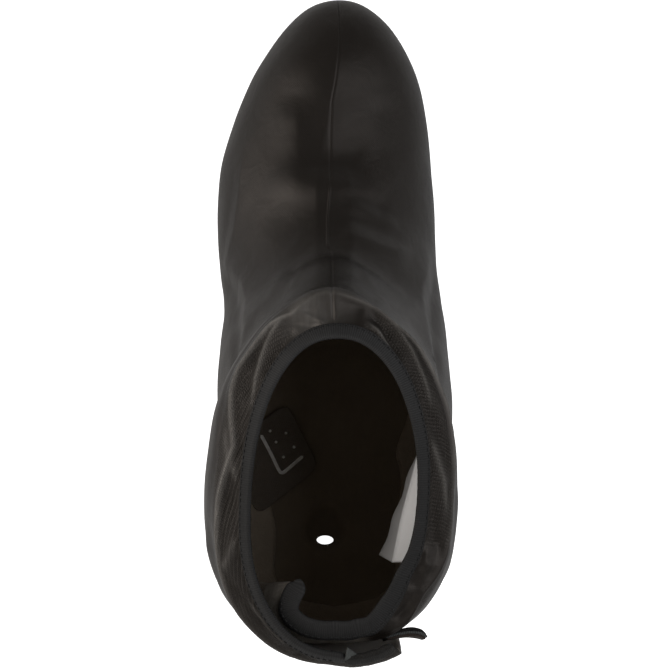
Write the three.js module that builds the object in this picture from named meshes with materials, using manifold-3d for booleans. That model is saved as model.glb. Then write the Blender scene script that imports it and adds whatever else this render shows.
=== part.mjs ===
// Winter overshoe for the left foot, worn over a shoe: a fabric upper with a low collar that laps shut at
// the back, a bound collar edge, a hook tab under the lap, and a rubber outsole with a low turned-up edge.
// Millimetres. +Z is up, +Y runs from heel to toe, +X is the inner (medial) side of the left foot.
// The origin is on the floor, under the heel.

import * as THREE from "three";
import { mergeVertices } from "three/addons/utils/BufferGeometryUtils.js";
import Module from "manifold-3d";

const wasm = await Module();
wasm.setup();

// Driving sizes
const length = 307; // back of the heel to the tip of the toe
const heelBehindOrigin = 54; // how far the back of the heel lies behind the origin
const ballWidth = 107;
const instepHeight = 100; // top of the foot where the shaft begins, above the floor
const collarHeight = 166; // upper edge of the fabric at the front, above the floor
const shaftWidth = 114; // widest part of the shaft
const backTurn = 3; // how far the back of the collar is turned towards the inner side
const toeTipHeight = 27;
const toeBoxLength = 42; // the stretch over which the toe rounds down to its tip
const archRise = 4.5;
const toeSpring = 12;

const wall = 1.2; // upper fabric with its lining
const clearance = 0.3; // between pieces that are sewn or glued together
const upperEdge = 3; // how far the lower edge of the upper lies above the foot's underside
const soleThickness = 2.2;
const lugHeight = 2;
const lugWidth = 8;
const lugPitch = 15;
const firstLug = 6; // from the back of the heel to the first bar
const treadTo = 0.93; // share of the length that the tread reaches
const lugMargin = 5; // from the edge of the outsole to the ends of the lugs
const drainLength = 9;
const drainWidth = 5;
const drainBack = 40.5; // from the back of the heel to the middle of the drain hole
const drainAside = -5;

const bindingWidth = 7.5; // of the collar's binding tape, along the slope of the collar
const bindingProud = 0.7; // how far the tape stands out from the fabric on each side

const slitStation = 12.55; // where the lap at the back begins, in rows of the section tables
const flapReach = 0.44; // how far the outer end of the lap passes the back centre, in radians
const underlapReach = 1.05; // the same for the inner end
const lapTurn = 1.35; // how far before the back centre the inner layer begins to turn inwards
const underlapGap = wall + 0.4; // the inner layer of the lap runs at least this far inside the outer one
const underlapDip = 8; // how much further in its upper edge lies
const underlapCurl = 5; // and its free end beyond that
const gapAhead = 0.1; // the inner layer has its gap this far before it passes under the outer end
const dipAfter = 0.05; // and its whole dip this far after
const flapLift = 1; // how far the outer end of the lap stands off

const tabThickness = 2.2;
const tabFree = 21; // length of the hook tab beyond its seat on the inner layer of the lap
const tabBend = 0.43; // how much its free end turns away from the shaft
const tabRows = [4, 5, 6]; // rows of the collar part that the tab spans
const tabColumns = 3; // columns of the inner layer that it is sewn to, from the back centre

const ringCount = 32; // points around a section

// A table with a row for each section, its values in the order of the named columns.
function table(columns, ...rows) {
  return rows.map((row) => Object.fromEntries(columns.map((name, i) => [name, row[i]])));
}

// Sections, from the toe back over the instep and round the heel to the collar. Each lies in a plane through
// a point on the top or front line and one on the sole or back line.
// topAt and soleAt: shares of the length, from the back of the heel.
// topHigh: share of the instep height. centre and half: shares of the ball width.
// widest: share of the section's height, from the sole, where it is widest.
// topRound and soleRound: exponents of the curves above and below that; 2 is an ellipse, more is squarer.
const footSections = table(
  ["topAt", "soleAt", "topHigh", "centre", "half", "widest", "topRound", "soleRound"],
  [1, 1, 0.54, 0.012, 0.5, 0.3, 2, 3],
  [0.902, 0.902, 0.575, 0.004, 0.5, 0.22, 2.05, 3.2],
  [0.813, 0.811, 0.615, -0.02, 0.5, 0.2, 2.1, 3.2],
  [0.726, 0.714, 0.67, -0.04, 0.5, 0.2, 2.1, 3.2],
  [0.653, 0.6, 0.745, -0.038, 0.5, 0.22, 2.05, 3.2],
  [0.598, 0.482, 0.85, -0.014, 0.495, 0.27, 2.05, 3.1],
  [0.562, 0.371, 0.965, -0.006, 0.515, 0.34, 2.05, 3],
);
// From the instep up: frontRise is a share of the height between instep and collar, and backRise a share of
// the collar height, or null where the section still ends on the sole. centre and half are shares of the
// shaft width.
const shaftSections = table(
  ["topAt", "soleAt", "frontRise", "backRise", "centre", "half", "widest", "topRound", "soleRound"],
  [0.549, 0.235, 0.13, null, -0.004, 0.497, 0.4, 2.1, 3],
  [0.537, 0.137, 0.29, null, -0.002, 0.494, 0.42, 2.15, 2.8],
  [0.529, 0.042, 0.43, 0.026, -0.002, 0.492, 0.42, 2.2, 2.6],
  [0.524, 0.0065, 0.54, 0.1, -0.004, 0.495, 0.42, 2.2, 2.4],
  [0.5205, 0, 0.62, 0.2, -0.006, 0.5, 0.42, 2.2, 2.3],
  [0.5185, -0.0016, 0.69, 0.36, -0.01, 0.504, 0.42, 2.2, 2.25],
  [0.517, -0.005, 0.75, 0.54, -0.012, 0.506, 0.42, 2.2, 2.2],
  [0.516, -0.01, 0.82, 0.74, -0.011, 0.502, 0.415, 2.25, 2.2],
  [0.5145, -0.0114, 0.9, 0.925, -0.002, 0.472, 0.41, 2.3, 2.2],
  [0.482, -0.003, 1, 0.978, 0.01, 0.388, 0.42, 2.2, 2.15],
);
const lastStation = footSections.length + shaftSections.length - 1;

const fromHeel = (share) => share * length - heelBehindOrigin;
const toeTip = fromHeel(1);
const ballAt = fromHeel(0.645); // from here forward the outline narrows to the tip

function smooth(x) {
  const s = Math.min(1, Math.max(0, x));
  return s * s * (3 - 2 * s);
}

// The sole's flat spots end where the arch begins and the toe springs up. Shares of the length from the heel.
const heelFlatTo = 0.26;
const ballFlatFrom = 0.56;
const ballFlatTo = 0.72;
const archRamp = 0.1; // the stretch over which the arch rises and falls
function rise(y) {
  const share = (y + heelBehindOrigin) / length;
  const arch = smooth((share - heelFlatTo) / archRamp) * smooth((ballFlatFrom - share) / archRamp);
  const toe = Math.max(0, (share - ballFlatTo) / (1 - ballFlatTo));
  return archRise * arch + toeSpring * toe * toe;
}

// Height of the foot's underside, inside the outsole.
const soleBase = lugHeight + soleThickness + clearance;
const formUnder = (y) => soleBase + rise(y);

// A row of either table in millimetres.
function footRow(row) {
  const soleY = fromHeel(row.soleAt);
  return {
    topY: fromHeel(row.topAt),
    topZ: row.topHigh * instepHeight,
    soleY,
    soleZ: formUnder(soleY),
    centre: row.centre * ballWidth,
    half: row.half * ballWidth,
    widest: row.widest,
    topRound: row.topRound,
    soleRound: row.soleRound,
  };
}
function shaftRow(row) {
  const soleY = fromHeel(row.soleAt);
  return {
    topY: fromHeel(row.topAt),
    topZ: instepHeight + row.frontRise * (collarHeight - instepHeight),
    soleY,
    soleZ: row.backRise === null ? formUnder(soleY) : row.backRise * collarHeight,
    centre: row.centre * shaftWidth,
    half: row.half * shaftWidth,
    widest: row.widest,
    topRound: row.topRound,
    soleRound: row.soleRound,
  };
}
const rows = [...footSections.map(footRow), ...shaftSections.map(shaftRow)];
const columns = Object.keys(rows[0]);

// The section at a station between rows, by Catmull-Rom interpolation of every column.
function sectionAt(station) {
  const i = Math.min(lastStation - 1, Math.max(0, Math.floor(station)));
  const f = station - i;
  const near = (k) => rows[Math.min(lastStation, Math.max(0, k))];
  const [a, b, c, d] = [near(i - 1), near(i), near(i + 1), near(i + 2)];
  const section = {};
  for (const key of columns) {
    section[key] =
      b[key] +
      0.5 * f * (c[key] - a[key]) +
      f * f * (a[key] - 2.5 * b[key] + 2 * c[key] - 0.5 * d[key]) +
      f * f * f * (1.5 * (b[key] - c[key]) + 0.5 * (d[key] - a[key]));
  }
  return section;
}

// How much of its full size a section has as the toe rounds off to its tip.
function nose(y, from) {
  const share = Math.max(0, (y - from) / (toeTip - from));
  return Math.sqrt(Math.max(0, 1 - share * share));
}

// A point of the upper's outer surface. angle 0 is the front seam, a quarter turn is the inner side of the
// foot, and a half turn the sole or the back.
function surfacePoint(station, angle) {
  const s = sectionAt(station);
  const up = Math.cos(angle);
  const side = Math.sin(angle);
  const round = up >= 0 ? s.topRound : s.soleRound;
  const reach = up >= 0 ? 1 - s.widest : s.widest;
  const high = s.widest + Math.sign(up) * reach * Math.abs(up) ** (2 / round);
  const out = Math.sign(side) * Math.abs(side) ** (2 / round);
  const y = s.soleY + (s.topY - s.soleY) * high;
  const z = s.soleZ + (s.topZ - s.soleZ) * high;
  const turned = backTurn * (z / collarHeight) ** 2 * Math.max(0, -up) ** 3;
  return new THREE.Vector3(
    s.centre + s.half * nose(y, ballAt) * out + turned,
    y,
    toeTipHeight + (z - toeTipHeight) * (y > toeTip - toeBoxLength ? nose(y, toeTip - toeBoxLength) : 1),
  );
}

const tipStation = 0.004; // the ring that closes the toe
function surfaceNormal(station, angle) {
  const step = 0.02;
  const low = Math.max(tipStation, station - step);
  const high = Math.min(lastStation, station + step);
  const along = surfacePoint(high, angle).sub(surfacePoint(low, angle));
  const around = surfacePoint(station, angle + step).sub(surfacePoint(station, angle - step));
  return along.cross(around).normalize();
}

function offsetPoint(station, angle, offset) {
  return surfacePoint(station, angle).addScaledVector(surfaceNormal(station, angle), offset);
}

// Closed meshes from grids of points

function geometryOf(points, faces) {
  const geometry = new THREE.BufferGeometry();
  geometry.setAttribute("position", new THREE.Float32BufferAttribute(points.flatMap((p) => p.toArray()), 3));
  geometry.setIndex(faces);
  return geometry;
}

function solidOf(geometry) {
  const bare = new THREE.BufferGeometry();
  bare.setAttribute("position", geometry.getAttribute("position"));
  bare.setIndex(geometry.index);
  const merged = mergeVertices(bare, 1e-4);
  return new wasm.Manifold(
    new wasm.Mesh({
      numProp: 3,
      vertProperties: merged.attributes.position.array,
      triVerts: new Uint32Array(merged.index.array),
    }),
  );
}

// A solid whose surface is a stack of closed rings, with a point at each end.
function stackedRings(rings) {
  const around = rings[0].length;
  const points = rings.flat();
  const faces = [];
  for (let i = 0; i + 1 < rings.length; i++) {
    for (let j = 0; j < around; j++) {
      const a = i * around + j;
      const b = i * around + ((j + 1) % around);
      faces.push(a, b + around, b, a, a + around, b + around);
    }
  }
  for (const [ring, atStart] of [[rings[0], true], [rings.at(-1), false]]) {
    const centre = points.length;
    const first = atStart ? 0 : (rings.length - 1) * around;
    points.push(ring.reduce((sum, p) => sum.add(p), new THREE.Vector3()).divideScalar(around));
    for (let j = 0; j < around; j++) {
      const a = first + j;
      const b = first + ((j + 1) % around);
      faces.push(...(atStart ? [a, b, centre] : [b, a, centre]));
    }
  }
  return solidOf(geometryOf(points, faces));
}

// A solid between two sheets, each a grid of points: grid[row][column].
function betweenSheets(outer, inner) {
  const high = outer.length;
  const wide = outer[0].length;
  const points = [...outer.flat(), ...inner.flat()];
  const back = high * wide;
  const faces = [];
  const quad = (a, b, c, d) => faces.push(a, b, c, a, c, d);
  for (let i = 0; i + 1 < high; i++) {
    for (let j = 0; j + 1 < wide; j++) {
      const a = i * wide + j;
      quad(a, a + 1, a + wide + 1, a + wide);
      quad(back + a, back + a + wide, back + a + wide + 1, back + a + 1);
    }
    const left = i * wide;
    const right = left + wide - 1;
    quad(left, left + wide, back + left + wide, back + left);
    quad(right, back + right, back + right + wide, right + wide);
  }
  for (let j = 0; j + 1 < wide; j++) {
    const top = (high - 1) * wide + j;
    quad(j, back + j, back + j + 1, j + 1);
    quad(top, top + 1, back + top + 1, back + top);
  }
  return solidOf(geometryOf(points, faces));
}

// A solid under a line in the side view, as wide as the shoe and more.
const beyond = 60;
const lineSteps = 60;
function underLine(heightAt) {
  const shape = new THREE.Shape();
  const from = -heelBehindOrigin - beyond;
  const to = toeTip + beyond;
  shape.moveTo(from, -beyond);
  for (let i = 0; i <= lineSteps; i++) {
    const y = from + ((to - from) * i) / lineSteps;
    shape.lineTo(y, heightAt(y));
  }
  shape.lineTo(to, -beyond);
  const wide = ballWidth + 2 * beyond;
  const geometry = new THREE.ExtrudeGeometry(shape, { depth: wide, bevelEnabled: false });
  geometry.rotateX(Math.PI / 2).rotateZ(Math.PI / 2).translate(-wide / 2, 0, 0);
  return plainSolid(geometry);
}

// Stations of the rings, close together where the toe rounds off. The collar part shares the last two.
const slitOverlap = 0.1;
function footStations() {
  const nearTip = 5;
  const perRow = 1.25;
  const list = [tipStation];
  for (let i = 1; i <= nearTip; i++) list.push((i / nearTip) ** 2);
  const footTo = slitStation - 3 * slitOverlap;
  for (let i = 1; 1 + i / perRow < footTo; i++) list.push(1 + i / perRow);
  list.push(slitStation - slitOverlap, slitStation);
  return list;
}

function ringAt(station, offset) {
  const angles = Array.from({ length: ringCount }, (_, j) => (2 * Math.PI * j) / ringCount);
  return angles.map((angle) => offsetPoint(station, angle, offset));
}

const raised = (ring, height) => ring.map((p) => p.clone().setZ(p.z + height));

// The foot as a solid up to where the lap begins, grown or shrunk by an offset.
function footForm(offset) {
  return stackedRings(footStations().map((station) => ringAt(station, offset)));
}

// The hollow of the foot, drawn up past its open end.
function footHollow(offset) {
  const rings = footStations().map((station) => ringAt(station, offset));
  return stackedRings([...rings, raised(rings.at(-1), beyond)]);
}

// The lap: both ends of the collar part run past the back centre, one inside the other. The inner end comes
// round the inner side of the foot, where angles are positive, and the outer end round the outer side.
const lapTop = 0.8; // share of the lap's height over which it opens
function lapOpening(station) {
  return smooth((station - slitStation) / (lapTop * (lastStation - slitStation)));
}
function underlapShare(angle) {
  return smooth((angle - (Math.PI - lapTurn)) / (lapTurn - flapReach + dipAfter));
}
function lapOffset(station, angle) {
  const open = lapOpening(station);
  if (angle > 0) {
    const under = smooth((angle - (Math.PI - lapTurn)) / (lapTurn - flapReach - gapAhead));
    const curl = smooth((angle - Math.PI - flapReach) / (underlapReach - flapReach));
    return -underlapGap * under - (underlapDip * underlapShare(angle) + underlapCurl * curl) * open;
  }
  const share = (-angle - Math.PI + flapReach) / (2 * flapReach);
  return flapLift * smooth(share) * open;
}

function collarPoint(station, angle, offset) {
  return offsetPoint(station, angle, offset + lapOffset(station, angle));
}

// A point of the binding, which runs on from the fabric's edge along its slope. past: how far from the tape's
// lower edge. The tape on the inner end of the lap leans inwards.
const underlapLean = 1.5;
const slopeRows = 0.15; // rows below the edge over which the slope is taken
function bindingPoint(angle, offset, past) {
  const below = surfacePoint(lastStation - slopeRows, angle);
  const slope = surfacePoint(lastStation, angle).sub(below).normalize();
  const lean = angle > 0 ? underlapLean * underlapShare(angle) : 0;
  const leaning = slope.clone().addScaledVector(surfaceNormal(lastStation, angle), -lean).normalize();
  const edge = collarPoint(lastStation, angle, offset).addScaledVector(slope, clearance);
  return edge.addScaledVector(leaning, past);
}

function evenly(from, to, steps) {
  return Array.from({ length: steps + 1 }, (_, i) => from + ((to - from) * i) / steps);
}

// Rows of the collar part, from the bottom of the lap to the fabric's edge.
const collarStations = evenly(slitStation, lastStation, 8);

// Angles from the inner end of the lap, round the foot, to its outer end.
const turnStep = (2 * Math.PI) / ringCount;
const turnAngles = [
  ...evenly(Math.PI + underlapReach, Math.PI, Math.round(underlapReach / turnStep)).slice(0, -1),
  ...evenly(Math.PI, -Math.PI, ringCount),
  ...evenly(-Math.PI, -Math.PI - flapReach, Math.round(flapReach / turnStep)).slice(1),
];

// Pieces

function makeUpper() {
  const foot = footForm(0).subtract(footHollow(-wall));
  const stations = [slitStation - slitOverlap, ...collarStations];
  const sheet = (offset) => stations.map((s) => turnAngles.map((angle) => collarPoint(s, angle, offset)));
  const openUnder = underLine((y) => formUnder(y) + upperEdge);
  return foot.add(betweenSheets(sheet(0), sheet(-wall))).subtract(openUnder);
}

// Height of the outsole's turned-up edge, above the rise of the sole.
const edgeHeight = 9.5;

function plainSolid(geometry) {
  return solidOf(mergeVertices(geometry.deleteAttribute("normal").deleteAttribute("uv")));
}

function drainHole() {
  const shape = new THREE.Shape();
  const middle = drainBack - heelBehindOrigin;
  shape.absellipse(drainAside, middle, drainLength / 2, drainWidth / 2, 0, 2 * Math.PI, false, 0);
  const through = { depth: beyond, bevelEnabled: false, curveSegments: 12 };
  const geometry = new THREE.ExtrudeGeometry(shape, through);
  return plainSolid(geometry.translate(0, 0, -beyond / 2));
}

// The bars of the tread, under the heel and from the ball to the toe.
function makeLugs() {
  const bars = [];
  const wide = 2 * ballWidth;
  for (let back = firstLug; back + lugWidth < treadTo * length; back += lugPitch) {
    const underArch = back > heelFlatTo * length && back < ballFlatFrom * length;
    if (underArch) continue;
    const bar = new THREE.BoxGeometry(wide, lugWidth, beyond);
    bars.push(plainSolid(bar.translate(0, back - heelBehindOrigin + lugWidth / 2, 0)));
  }
  const pattern = bars.reduce((sum, bar) => sum.add(bar));
  const shrink = lugMargin - clearance - soleThickness;
  const drop = shrink + soleBase + 1;
  const lowered = stackedRings(footStations().map((station) => raised(ringAt(station, -shrink), -drop)));
  return pattern.intersect(lowered).intersect(underLine((y) => soleBase + rise(y)));
}

function makeOutsole() {
  const shell = footForm(clearance + soleThickness).intersect(underLine((y) => edgeHeight + rise(y)));
  const belowGround = underLine((y) => rise(y));
  return shell.add(makeLugs()).subtract(footForm(clearance)).subtract(belowGround).subtract(drainHole());
}

function makeBinding() {
  const edges = [0, bindingWidth];
  const sheet = (offset) => edges.map((past) => turnAngles.map((angle) => bindingPoint(angle, offset, past)));
  return betweenSheets(sheet(bindingProud), sheet(-wall - bindingProud));
}

// The hook tab: a strip sewn to the inner layer of the lap, which runs on past the outer end and stands off.
function makeTab() {
  const freeSteps = 4;
  const backCentre = turnAngles.indexOf(Math.PI);
  const seat = turnAngles.slice(backCentre, backCentre + tabColumns);
  const endAngle = seat.at(-1);
  const column = (station, offset) => {
    const at = (angle) => collarPoint(station, angle, offset + clearance);
    const end = at(endAngle);
    const ahead = end.clone().sub(at(endAngle + turnStep / 4)).normalize();
    const bent = ahead.clone().addScaledVector(surfaceNormal(station, endAngle), tabBend).normalize();
    const free = evenly(0, 1, freeSteps).slice(1).map((share) => {
      const way = ahead.clone().lerp(bent, share);
      return end.clone().addScaledVector(way, share * tabFree);
    });
    return [...seat.map(at), ...free];
  };
  const sheet = (offset) => tabRows.map((row) => column(collarStations[row], offset));
  return betweenSheets(sheet(tabThickness), sheet(0));
}

function meshOf(name, solid, settings) {
  const { numProp, vertProperties, triVerts } = solid.getMesh();
  const position = new Float32Array((vertProperties.length / numProp) * 3);
  for (let i = 0; i * numProp < vertProperties.length; i++) {
    position.set(vertProperties.subarray(i * numProp, i * numProp + 3), i * 3);
  }
  const geometry = new THREE.BufferGeometry();
  geometry.setAttribute("position", new THREE.BufferAttribute(position, 3));
  geometry.setIndex(new THREE.BufferAttribute(new Uint32Array(triVerts), 1));
  geometry.computeVertexNormals();
  const mesh = new THREE.Mesh(geometry, new THREE.MeshStandardMaterial(settings));
  mesh.name = name;
  return mesh;
}

const overshoe = new THREE.Group();
overshoe.add(meshOf("upper", makeUpper(), { color: 0x161515, roughness: 0.55, metalness: 0 }));
overshoe.add(meshOf("outsole", makeOutsole(), { color: 0x121212, roughness: 0.8, metalness: 0 }));
overshoe.add(meshOf("hook_tab", makeTab(), { color: 0x101010, roughness: 0.7, metalness: 0 }));
overshoe.add(meshOf("collar_binding", makeBinding(), { color: 0x24262a, roughness: 0.85, metalness: 0 }));

export default overshoe;
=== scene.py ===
# Looks of the left winter overshoe: coated fabric upper, lapped collar, bound rim, hook tab and rubber sole.
# Shapes are worked out in millimetres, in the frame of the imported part, and made into metres with each mesh.
# +Z is up, +Y runs from heel to toe, and +X is the inner side of the foot.

import math

import bpy
import numpy as np
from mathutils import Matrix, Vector
from mathutils.bvhtree import BVHTree


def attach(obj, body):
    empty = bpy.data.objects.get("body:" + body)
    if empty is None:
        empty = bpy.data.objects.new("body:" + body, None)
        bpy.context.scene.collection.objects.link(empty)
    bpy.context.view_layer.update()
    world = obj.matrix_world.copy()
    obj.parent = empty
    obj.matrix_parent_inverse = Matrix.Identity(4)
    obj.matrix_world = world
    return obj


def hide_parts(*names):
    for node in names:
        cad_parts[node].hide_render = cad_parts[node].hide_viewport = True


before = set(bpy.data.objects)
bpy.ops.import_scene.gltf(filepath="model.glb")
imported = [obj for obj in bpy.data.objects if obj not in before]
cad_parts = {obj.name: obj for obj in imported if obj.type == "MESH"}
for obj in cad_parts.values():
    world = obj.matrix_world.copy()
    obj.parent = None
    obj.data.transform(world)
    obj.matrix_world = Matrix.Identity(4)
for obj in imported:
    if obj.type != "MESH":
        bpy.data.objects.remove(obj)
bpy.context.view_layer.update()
mm = 0.001

# Form of the overshoe

length = 307
heel_behind = 54
ball_width = 107
instep_height = 100
collar_height = 166
shaft_width = 114
back_turn = 3
toe_tip_height = 27
toe_box = 42
arch_rise = 4.5
toe_spring = 12
wall = 1.2
sole_base = 4.5
sole_thickness = 2.2
clearance = 0.3
upper_edge = 3
sole_edge = 9.5
binding_width = 7.5
# The lap at the back starts at a station. In radians: how far its outer layer and its inner one reach past
# the back's middle, and how far before it the inner one starts to sink in
slit_station = 12.55
flap_turn = 0.5
underlap_turn = 1.0
lap_turn = 1.35

# top_at, sole_at, top_high, centre, half, widest, top_round, sole_round: shares of the sizes above
foot_sections = (
    (1, 1, 0.54, 0.012, 0.5, 0.3, 2, 3),
    (0.902, 0.902, 0.575, 0.004, 0.5, 0.22, 2.05, 3.2),
    (0.813, 0.811, 0.615, -0.02, 0.5, 0.2, 2.1, 3.2),
    (0.726, 0.714, 0.67, -0.04, 0.5, 0.2, 2.1, 3.2),
    (0.653, 0.6, 0.745, -0.038, 0.5, 0.22, 2.05, 3.2),
    (0.598, 0.482, 0.85, -0.014, 0.495, 0.27, 2.05, 3.1),
    (0.562, 0.371, 0.965, -0.006, 0.515, 0.34, 2.05, 3),
)
# top_at, sole_at, front_rise, back_rise (None on the sole), centre, half, widest, top_round, sole_round
shaft_sections = (
    (0.549, 0.235, 0.13, None, -0.004, 0.497, 0.4, 2.1, 3),
    (0.537, 0.137, 0.29, None, -0.002, 0.494, 0.42, 2.15, 2.8),
    (0.529, 0.042, 0.43, 0.026, -0.002, 0.492, 0.42, 2.2, 2.6),
    (0.524, 0.0065, 0.54, 0.1, -0.004, 0.495, 0.42, 2.2, 2.4),
    (0.5205, 0, 0.62, 0.2, -0.006, 0.5, 0.42, 2.2, 2.3),
    (0.5185, -0.0016, 0.69, 0.36, -0.01, 0.504, 0.42, 2.2, 2.25),
    (0.517, -0.005, 0.75, 0.54, -0.012, 0.506, 0.42, 2.2, 2.2),
    (0.516, -0.01, 0.82, 0.74, -0.011, 0.502, 0.415, 2.25, 2.2),
    (0.5145, -0.0114, 0.9, 0.925, -0.002, 0.472, 0.41, 2.3, 2.2),
    (0.482, -0.003, 1, 0.978, 0.01, 0.388, 0.42, 2.2, 2.15),
)
last_station = len(foot_sections) + len(shaft_sections) - 1
ridge_station = last_station - 1


def from_heel(share):
    return share * length - heel_behind


ball_share = 0.645
arch_from = 0.26
arch_to = 0.56
arch_blend = 0.1
spring_from = 0.72
toe_tip = from_heel(1)
ball_at = from_heel(ball_share)


def smooth(x):
    s = np.clip(x, 0, 1)
    return s * s * (3 - 2 * s)


def rise(y):
    share = (np.asarray(y) + heel_behind) / length
    arch = smooth((share - arch_from) / arch_blend) * smooth((arch_to - share) / arch_blend)
    toe = np.maximum(0, (share - spring_from) / (1 - spring_from))
    return arch_rise * arch + toe_spring * toe * toe


def section_rows():
    rows = []
    for top_at, sole_at, top_high, centre, half, widest, top_round, sole_round in foot_sections:
        sole_y = from_heel(sole_at)
        top = (from_heel(top_at), top_high * instep_height)
        sole = (sole_y, sole_base + float(rise(sole_y)))
        rows.append((*top, *sole, centre * ball_width, half * ball_width, widest, top_round, sole_round))
    for top_at, sole_at, front, back, centre, half, widest, top_round, sole_round in shaft_sections:
        sole_y = from_heel(sole_at)
        top = (from_heel(top_at), instep_height + front * (collar_height - instep_height))
        sole = (sole_y, sole_base + float(rise(sole_y)) if back is None else back * collar_height)
        rows.append((*top, *sole, centre * shaft_width, half * shaft_width, widest, top_round, sole_round))
    return np.array(rows, dtype=float)


rows = section_rows()


def spline_step(a, b, c, d, f):
    """A place between b and c on a smooth line through four, at the share f of the way."""
    bend = f * f * (a - 2.5 * b + 2 * c - 0.5 * d)
    return b + 0.5 * f * (c - a) + bend + f**3 * (1.5 * (b - c) + 0.5 * (d - a))


def section(station):
    i = np.clip(np.floor(station).astype(int), 0, last_station - 1)
    a, b, c, d = (rows[np.clip(i + k, 0, last_station)] for k in (-1, 0, 1, 2))
    return spline_step(a, b, c, d, (station - i)[..., None])


def nose(y, start):
    share = np.clip((y - start) / (toe_tip - start), 0, 1)
    return np.sqrt(1 - share * share)


def surface(station, angle):
    """Points of the smooth outer surface, at a station along the foot and an angle from the front seam."""
    station, angle = np.broadcast_arrays(np.asarray(station, float), np.asarray(angle, float))
    parts = np.moveaxis(section(station), -1, 0)
    top_y, top_z, sole_y, sole_z, centre, half, widest, top_round, sole_round = parts
    up, side = np.cos(angle), np.sin(angle)
    power = 2 / np.where(up >= 0, top_round, sole_round)
    reach = np.where(up >= 0, 1 - widest, widest)
    high = widest + np.sign(up) * reach * np.abs(up) ** power
    out = np.sign(side) * np.abs(side) ** power
    y = sole_y + (top_y - sole_y) * high
    z = sole_z + (top_z - sole_z) * high
    turned = back_turn * (z / collar_height) ** 2 * np.maximum(0, -up) ** 3
    x = centre + half * nose(y, ball_at) * out + turned
    low = nose(y, toe_tip - toe_box)
    z = np.where(y > toe_tip - toe_box, toe_tip_height + (z - toe_tip_height) * low, z)
    return np.stack([x, y, z], axis=-1)


def unit(v):
    return v / np.maximum(np.linalg.norm(v, axis=-1, keepdims=True), 1e-9)


tip_station = 0.004


def surface_normal(station, angle):
    step = 0.02
    low = np.maximum(tip_station, station - step)
    high = np.minimum(last_station, station + step)
    along = surface(high, angle) - surface(low, angle)
    around = surface(station, angle + step) - surface(station, angle - step)
    return unit(np.cross(along, around))


# Folds and creases of the fabric

# Creases on the top, the front and the shoulders, as seen from above: x, y of each point in millimetres.
# height: how far the crest stands out, or sinks in if negative. flat: half the width of its level top.
# left and right: how far it runs out on each side of the line, seen along the line. peaked: how sharp it is,
# from 0 to 1.
top_creases = (
    # height, flat, left, right, peaked, points
    (1.9, 0, 10, 18, 0.5, ((2, 246), (0, 212), (-3.5, 193), (-6.5, 174), (-8, 158), (-8, 140))),
    (1.5, 0, 7, 10, 0, ((-20, 204), (-19, 184), (-18, 166), (-21, 150))),
    (3.4, 7.2, 13, 18, 0.8, ((-1.5, 172), (-0.8, 152), (-0.8, 130), (0, 110), (0, 96))),
    (3, 4, 22, 24, 0, ((-1, 178), (-0.8, 155), (-0.8, 125), (0, 105), (0, 90))),
    (2.6, 0, 9, 17, 0.4, ((-1, 124), (-0.6, 108), (0, 96), (0, 82))),
    (1.7, 0, 9, 12, 0.5, ((0, 133), (15, 130.5), (25, 128), (38, 127))),
    (-0.9, 0, 5.5, 5, 0.1, ((0, 144), (12, 140), (22, 135.5), (36, 132))),
    (0.7, 0, 5, 5, 0.3, ((4, 148), (16, 144), (32, 138))),
    (-0.8, 0, 5, 5, 0.1, ((0, 153), (12, 151), (26, 147))),
    (0.5, 0, 7, 7, 0.1, ((8, 176), (20, 168), (32, 160))),
    (0.5, 0, 2.2, 2, 0.8, ((9, 118), (12, 113), (19, 104.5), (23, 101))),
    (-0.6, 0, 2.5, 2.5, 0.2, ((7, 113), (11, 109), (17, 104), (20, 101))),
    (-0.8, 0, 7, 6, 0.1, ((20, 115), (26, 108), (34, 98))),
    (-0.7, 0, 2.4, 2.8, 0.3, ((-14, 121), (-18, 113), (-25, 103), (-33, 96))),
    (0.6, 0, 2.4, 2.4, 0.8, ((-11, 117), (-18, 108.5), (-28, 99.5), (-38, 92))),
    (0.8, 0, 5, 3.5, 0.5, ((-20, 118), (-29, 106), (-42, 93))),
    (1, 0, 4, 8, 0.8, ((-43, 180), (-46, 160), (-48.5, 140), (-52, 125), (-53, 108))),
    (-1, 0, 5, 4, 0.2, ((-48, 176), (-51, 150), (-54, 130), (-56, 112))),
    (-1, 0, 8, 8, 0, ((26, 205), (29, 190), (33, 172))),
    (-0.6, 0, 2, 2.2, 0.3, ((13, 100.5), (19, 95.5), (26, 88))),
    (0.6, 0, 1.8, 1.8, 0.8, ((-6, 107), (-14, 101), (-22, 92), (-29, 81))),
    (-0.6, 0, 2.2, 2.2, 0.3, ((-15, 97), (-22, 88.5), (-27, 80))),
)
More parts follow.
